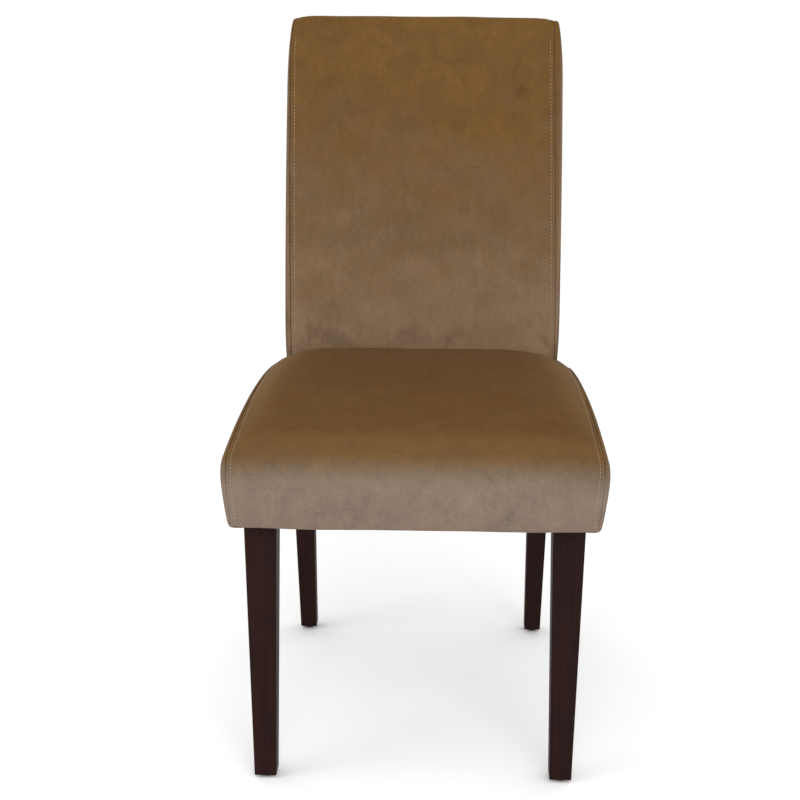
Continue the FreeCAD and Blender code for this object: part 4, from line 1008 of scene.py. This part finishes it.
class CHAIR_OT_frame_finishes(bpy.types.Operator):
    """Gives the wood, metal, webbing and card of the frame their finishes"""

    bl_idname = "chair.frame_finishes"
    bl_label = "Frame finishes"

    def execute(self, context):
        finishes = {
            espresso_material(): WOOD_SHOWN,
            raw_wood_material(): WOOD_HIDDEN,
            metal_material("zinc_steel", (206, 208, 205), (150, 152, 150), 0.36): STEEL,
            metal_material("glide_metal", (58, 54, 50), (30, 28, 27), 0.2): ("glides",),
            woven_material("webbing", (70, 66, 60), (28, 26, 24), 420.0, 0.8): STRAPS,
            flecked_material("grey_card", (150, 141, 128), (112, 104, 94), (420.0, 5.0, 0.7),
                             0.85, (0.2, 0.0003)): ("back_card",),
        }
        for material, names in finishes.items():
            for name in names:
                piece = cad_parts[name]
                if not piece.material_slots:
                    piece.data.materials.append(material)
                for slot in piece.material_slots:
                    slot.material = material
        return {"FINISHED"}


# Colours of the pile with painted sheen and shade by facing, from where it faces a little down, over
# upright, to facing up
PILE_SHEEN_PALE = (116, 100, 88)
PILE_SHEEN_GREY = (105, 88, 70)
PILE_TAN = (101, 79, 56)
PILE_GOLD = (97, 70, 38)
PILE_BRASS = (97, 69, 31)
PILE_DEEP = (81, 53, 24)
PILE_LIT = (120, 98, 76)
PILE_SHADED = (87, 69, 51)
PILE_TURNED = (100, 81, 62)
SEAT_PILE_AND_PAINTED_LIGHT = ((0.07, PILE_SHEEN_PALE), (0.45, PILE_SHEEN_GREY), (0.67, PILE_TAN), (0.93, PILE_GOLD),
             (1.0, PILE_DEEP))
# Where along y the front of the seat gets its painted highlight
SEAT_PAINTED_HIGHLIGHT = (-0.272, -0.225)
BACK_PILE_AND_PAINTED_LIGHT = ((0.0, PILE_TURNED), (0.13, PILE_SHADED), (0.205, PILE_LIT), (0.285, PILE_TAN),
             (0.36, PILE_GOLD), (1.0, PILE_BRASS))


# The sheets of the covers made so far, against which the padding is tucked in
cover_sheets = {"seat": [], "back": []}

STITCH_COLUMN = SEAM_STEPS.index(STITCH_PLACE)
STITCH_LIFT = 0.00025
STITCH_FOOT = UNDERSIDE + 8.0
STITCH_END = 0.976
# Painted shade that makes the left boxing of the back darker than the right one
LEFT_BOXING_SHADE = 0.18
THREAD = (172, 150, 122)
THREAD_SHADE = 0.8
SEAT_INSIDE = (0.0, -0.06, 0.42)
BACK_INSIDE = (0.0, 0.19, 0.70)
BACK_LOW = 455.0

# The crease in which the back stands on the seat, and what the back hides, in millimetres
CREASE_REACH = 16.0
CREASE_DEPTH = 2.4
CREASE_BESIDE = 8.0
CREASE_FADE = 12.0
CREASE_LEVEL = 450.0
HIDDEN_INSIDE = 5.0
HIDDEN_BESIDE = 4.0


def cover_piece(node, points, material, settings, inside, keep=None, marks=(), shade=0.0):
    """Makes one cover from its sheet of points and lets it stand for its node."""
    name = f"{node}_velvet"
    mesh = as_mesh(name, points, keep)
    face_away(mesh, Vector(inside))
    corners = [vertex.co.copy() for vertex in mesh.vertices]
    faces = [list(face.vertices) for face in mesh.polygons]
    cover_sheets[node[:4]].append(BVHTree.FromPolygons(corners, faces))
    piece = shown_object(name, mesh, material)
    lined(piece, settings.cover_thickness)
    baked(piece)
    mark_pile(piece, marks, shade)
    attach(piece, "root")
    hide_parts(node)
    return piece


def on_side(points, sign):
    """A sheet drawn on the right, as it is or mirrored to the left."""
    turned = points.copy()
    turned[..., 0] *= sign
    return turned


def run(points, axis):
    """Distance from the first row (axis 0) or the first column (axis 1), in millimetres."""
    step = np.linalg.norm(np.diff(points, axis=axis), axis=-1) * 1000.0
    return np.insert(np.cumsum(step, axis=axis), 0, 0.0, axis=axis)


def from_side_seams(points):
    across = run(points, 1)
    return np.minimum(across, across[:, -1:] - across)


def outward(points, inside):
    """Normals of a sheet that point away from a place inside the padding."""
    normals = grid_normals(points)
    if (normals * (points - np.array(inside))).sum() < 0.0:
        normals = -normals
    return normals


def dipped(points, normals, depth):
    """A sheet sunk along its normals by a depth in millimetres."""
    return points - normals * depth[..., None] / 1000.0


def crease_depth(x, z, into_back):
    """How deep the seat dips towards the back that stands on it."""
    depth = np.clip((into_back + CREASE_REACH) / CREASE_REACH, 0.0, 1.1) ** 2 * CREASE_DEPTH
    depth *= np.clip((BACK_HALF_WIDTH + CREASE_BESIDE - np.abs(x)) / CREASE_FADE, 0.0, 1.0)
    return depth * (z > CREASE_LEVEL)


def topstitched(name, points, normals, wanted, settings):
    """The thread beside both side seams of a cover, lifted off it a little."""
    lines = []
    for column in (STITCH_COLUMN, -1 - STITCH_COLUMN):
        line = points[:, column] + normals[:, column] * STITCH_LIFT
        lines.append(line[wanted[:, column]])
    dark = [THREAD_SHADE * part for part in THREAD]
    thread = bpy.data.materials.get("stitching_thread") or flecked_material(
        "stitching_thread", THREAD, dark, (1800.0, 2.0, 0.5), 0.55, (0.3, 0.0002))
    sizes = {"Pitch": settings.stitch_pitch, "Length": settings.stitch_length,
             "Radius": settings.thread_radius}
    return laid_along(name, lines, stitch_pattern(thread), sizes, thread)


class CHAIR_OT_seat_covers(bpy.types.Operator):
    """Sews the seat's top and side panels"""

    bl_idname = "chair.seat_covers"
    bl_label = "Seat covers"

    def execute(self, context):
        settings = context.scene.chair_velvet
        radius = settings.seam_radius * 1000.0
        # the seat's own copy of the velvet, with its own painted sheen, shade and highlight
        velvet = velvet_material("seat_velvet", SEAT_PILE_AND_PAINTED_LIGHT, SEAT_PAINTED_HIGHLIGHT)
        top = hand_of_velvet(seat_top_sheet(), settings.unevenness)
        normals = outward(top, SEAT_INSIDE)
        x, d, z = top[..., 0] * 1000.0, (top[..., 1] - FRONT_Y) * 1000.0, top[..., 2] * 1000.0
        into_back = d - back_front_d(x, z)
        depth = seam_depth(from_side_seams(top), radius, True) + crease_depth(x, z, into_back)
        top = dipped(top, normals, depth)
        hidden = (into_back > HIDDEN_INSIDE) & (np.abs(x) < BACK_HALF_WIDTH + HIDDEN_BESIDE)
        cover_piece("seat_cover_top", top, velvet, settings, SEAT_INSIDE, ~hidden, SEAT_MARKS)
        topstitched("seat_topstitch", top, normals, z > STITCH_FOOT, settings)
        side = seat_side_sheet()
        depth = seam_depth(run(side, 1), radius, False)
        side = dipped(side, outward(side, (0.15, -0.06, 0.42)), depth)
        for name, sign in SIDES:
            cover_piece(f"seat_cover_side_{name}", on_side(side, sign), velvet, settings,
                        (0.1 * sign, -0.06, 0.42))
        return {"FINISHED"}


class CHAIR_OT_back_covers(bpy.types.Operator):
    """Sews the front, the boxing and the rear of the back"""

    bl_idname = "chair.back_covers"
    bl_label = "Back covers"

    def execute(self, context):
        settings = context.scene.chair_velvet
        radius = settings.seam_radius * 1000.0
        # the back's own copy of the velvet, with its own painted sheen and shade
        velvet = velvet_material("back_velvet", BACK_PILE_AND_PAINTED_LIGHT, None)
        front = hand_of_velvet(back_front_sheet(BACK_LOW), settings.unevenness)
        along = run(front, 0)
        depth = seam_depth(from_side_seams(front), radius, True)
        depth = depth + seam_depth(along[-1:, :] - along, radius, False)
        normals = outward(front, BACK_INSIDE)
        front = dipped(front, normals, depth)
        cover_piece("back_cover_front", front, velvet, settings, BACK_INSIDE, marks=BACK_MARKS)
        topstitched("back_topstitch", front, normals, front[..., 2] < STITCH_END, settings)
        # the left boxing gets painted shade
        for (name, sign), shade in zip(SIDES, (0.0, LEFT_BOXING_SHADE)):
            side = back_side_sheet(UNDERSIDE, name)
            depth = seam_depth(from_side_seams(side), radius, False)
            shaped = dipped(side, outward(side, (0.12, 0.19, 0.70)), depth)
            cover_piece(f"back_cover_side_{name}", on_side(shaped, sign), velvet, settings,
                        (0.12 * sign, 0.19, 0.70), shade=shade)
        rear = hand_of_velvet(back_rear_sheet(side), 0.5 * settings.unevenness)
        depth = seam_depth(from_side_seams(rear), radius, False)
        depth = depth + seam_depth(run(rear, 0), radius, False)
        rear = dipped(rear, outward(rear, BACK_INSIDE), depth)
        cover_piece("back_cover_rear", rear, velvet, settings, BACK_INSIDE)
        return {"FINISHED"}


def filled_copy(name, node, voxel):
    """An even, closed mesh of a pad's solid."""
    mesh = written(welded(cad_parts[node].data), name)
    piece = shown_object(name, mesh, bpy.data.materials[PAD_FINISH[node]])
    even = piece.modifiers.new("Even", "REMESH")
    even.mode = "VOXEL"
    even.voxel_size = voxel
    even.use_smooth_shade = True
    return baked(piece)


def move_points(piece, places):
    piece.data.vertices.foreach_set("co", [part for place in places for part in place])
    piece.data.update()


def shrunk(piece, depth):
    """Moves a pad's surface inwards all round."""
    move_points(piece, [vertex.co - vertex.normal * depth for vertex in piece.data.vertices])


def swollen(piece, cap):
    """Lets the foam swell under pressure, each point by no more than cap."""
    before = [vertex.co.copy() for vertex in piece.data.vertices]
    cloth = piece.modifiers.new("Swell", "CLOTH")
    cloth.settings.use_pressure = True
    cloth.settings.uniform_pressure_force = FOAM_PRESSURE
    cloth.settings.effector_weights.gravity = 0.0
    scene = bpy.context.scene
    for step in range(1, FOAM_STEPS + 1):
        scene.frame_set(step)
    graph = bpy.context.evaluated_depsgraph_get()
    after = piece.evaluated_get(graph).data
    moved = []
    for vertex, old in zip(after.vertices, before):
        step = vertex.co - old
        if step.length > cap:
            step = step.normalized() * cap
        moved.append(old + step)
    piece.modifiers.clear()
    move_points(piece, moved)
    scene.frame_set(1)


def tucked_under(piece, sheets, depth):
    """Moves what comes too near a cover back under it."""
    places = []
    for vertex in piece.data.vertices:
        place = vertex.co.copy()
        for sheet in sheets:
            nearest, normal, _, distance = sheet.find_nearest(place, NEAR_COVER)
            if nearest is None:
                continue
            under = (nearest - place).dot(normal)
            if under < depth and abs(under) > 0.7 * distance:
                place -= normal * (depth - under)
        places.append(place)
    move_points(piece, places)


PAD_FINISH = {"seat_foam": "cut_foam", "back_foam": "cut_foam",
              "seat_wadding": "fleece", "back_wadding": "fleece"}
FOAM_VOXEL = 0.006
FLEECE_VOXEL = 0.0034
FOAM_START = 0.0065
FOAM_SWELL = 0.005
FOAM_PRESSURE = 4.0
FOAM_STEPS = 20
UNDER_COVER = 0.0024
NEAR_COVER = 0.012


class CHAIR_OT_padding(bpy.types.Operator):
    """Fills the covers with foam and fleece"""

    bl_idname = "chair.padding"
    bl_label = "Foam and fleece"

    def execute(self, context):
        padding_material("cut_foam", (238, 226, 178), (205, 188, 132), 620.0, 0.0006)
        padding_material("fleece", (240, 240, 236), (212, 212, 208), 260.0, 0.0012)
        for node in ("seat_foam", "back_foam"):
            pad = filled_copy(f"{node}_pad", node, FOAM_VOXEL)
            shrunk(pad, FOAM_START)
            swollen(pad, FOAM_SWELL)
            tucked_under(pad, cover_sheets[node[:4]], UNDER_COVER)
            self.stands_for(pad, node, 0.9)
        for node in ("seat_wadding", "back_wadding"):
            fleece = filled_copy(f"{node}_fleece", node, FLEECE_VOXEL)
            tucked_under(fleece, cover_sheets[node[:4]], UNDER_COVER)
            self.stands_for(fleece, node, 0.7)
        return {"FINISHED"}

    @staticmethod
    def stands_for(pad, node, fill):
        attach(pad, "root")
        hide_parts(node)


CLOTH_STEP = 0.014
CLOTH_THICKNESS = 0.0006
SAG_DEPTH = 0.0032
SAG_PULL = 0.0011
SAG_EDGE = 0.03

# Staples: their height and half the front row in metres, the rest in millimetres
STAPLE_LEVEL = UNDERSIDE / 1000.0 - 0.001
STAPLE_HALF_ROW = 0.17
STAPLE_RANGE = (72.0, 438.0)
STAPLE_INSET = 20.0
HEM_STAPLE_INSET = 10.0


class CHAIR_OT_underside(bpy.types.Operator):
    """Staples the black cloth and the hems under the seat"""

    bl_idname = "chair.underside"
    bl_label = "Dust cover and staples"

    def execute(self, context):
        cloth = woven_material("cambric", (34, 34, 35), (14, 14, 15), 900.0, 0.95)
        mesh = self.even_sheet()
        piece = shown_object("dust_cover_cambric", mesh, cloth)
        low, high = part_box("dust_cover")
        self.sag(mesh, low, high)
        solid = piece.modifiers.new("Thickness", "SOLIDIFY")
        solid.thickness = CLOTH_THICKNESS
        solid.offset = -1.0
        baked(piece)
        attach(piece, "root")
        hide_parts("dust_cover")
        steel = metal_material("staple_wire", (190, 192, 190), (140, 142, 140), 0.35)
        sizes = {"Pitch": 0.031, "Half length": 0.0052, "Radius": 0.00042}
        laid_along("cover_staples", self.staple_lines(), staple_pattern(steel), sizes, steel)
        return {"FINISHED"}

    @staticmethod
    def even_sheet():
        """The lower side of the cloth, divided evenly."""
        body = welded(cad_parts["dust_cover"].data)
        away = [face for face in body.faces if face.normal.z > -0.9]
        bmesh.ops.delete(body, geom=away, context="FACES")
        bmesh.ops.dissolve_limit(body, angle_limit=0.02, verts=body.verts, edges=body.edges)
        low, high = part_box("dust_cover")
        for axis, start, end in (((1, 0, 0), low.x, high.x), ((0, 1, 0), low.y, high.y)):
            for place in spaced(start, end, CLOTH_STEP)[1:-1]:
                every = body.verts[:] + body.edges[:] + body.faces[:]
                bmesh.ops.bisect_plane(body, geom=every, plane_co=Vector(axis) * place,
                                       plane_no=axis, dist=1e-6)
        return written(body, "dust_cover_cambric")

    @staticmethod
    def sag(mesh, low, high):
        """The cloth hangs a little between the rails, with faint pulls from its staples."""
        middle = (low + high) / 2.0
        half = (high - low) / 2.0
        for vertex in mesh.vertices:
            across = (vertex.co.x - middle.x) / (half.x - SAG_EDGE)
            along = (vertex.co.y - middle.y) / (half.y - SAG_EDGE)
            free = max(0.0, 1.0 - across ** 4) * max(0.0, 1.0 - along ** 4)
            pull = noise.noise(Vector((vertex.co.x * 14.0, vertex.co.y * 14.0, 0.3)))
            vertex.co.z -= free * (SAG_DEPTH + SAG_PULL * pull)

    @staticmethod
    def staple_lines():
        """Lines of staples along the cloth's edges, and along the hems outside it."""
        lines = []
        for inset in (STAPLE_INSET, HEM_STAPLE_INSET):
            front = metres_at(STAPLE_RANGE[0], inset)
            rear = metres_at(STAPLE_RANGE[1], inset)
            for sign in (1.0, -1.0):
                lines.append([(sign * front[0], front[1], STAPLE_LEVEL),
                              (sign * rear[0], rear[1], STAPLE_LEVEL)])
        for d in (HEM_STAPLE_INSET + FRONT_BOW, STAPLE_INSET + FRONT_BOW):
            y = FRONT_Y + d / 1000.0
            lines.append([(sign * STAPLE_HALF_ROW, y, STAPLE_LEVEL) for sign in (-1.0, 1.0)])
        return lines


def metres_at(d, inset):
    """A place under a side rail, so far in from the seam."""
    return (seam_x(d, UNDERSIDE) - inset) / 1000.0, FRONT_Y + d / 1000.0


class CHAIR_PT_panel(bpy.types.Panel):
    """Lists the steps that dress the chair"""

    bl_label = "Parsons Chair"
    bl_idname = "CHAIR_PT_panel"
    bl_space_type = "VIEW_3D"
    bl_region_type = "UI"
    bl_category = "Parsons Chair"

    def draw(self, context):
        layout = self.layout
        for step in STEPS:
            layout.operator(step.bl_idname)
        for settings in (context.scene.chair_velvet, context.scene.chair_stage):
            box = layout.box()
            for name in settings.__annotations__:
                box.prop(settings, name)


STEPS = (
    CHAIR_OT_stage,
    CHAIR_OT_frame_finishes,
    CHAIR_OT_seat_covers,
    CHAIR_OT_back_covers,
    CHAIR_OT_padding,
    CHAIR_OT_underside,
)
CLASSES = (ChairVelvetSettings, ChairStageSettings, *STEPS, CHAIR_PT_panel)


def register():
    for entry in CLASSES:
        bpy.utils.register_class(entry)
    bpy.types.Scene.chair_velvet = bpy.props.PointerProperty(type=ChairVelvetSettings)
    bpy.types.Scene.chair_stage = bpy.props.PointerProperty(type=ChairStageSettings)


def unregister():
    del bpy.types.Scene.chair_stage
    del bpy.types.Scene.chair_velvet
    for entry in reversed(CLASSES):
        bpy.utils.unregister_class(entry)


def main():
    register()
    bpy.ops.chair.stage()
    bpy.ops.chair.frame_finishes()
    bpy.ops.chair.seat_covers()
    bpy.ops.chair.back_covers()
    bpy.ops.chair.padding()
    bpy.ops.chair.underside()


if __name__ == "__main__":
    main()
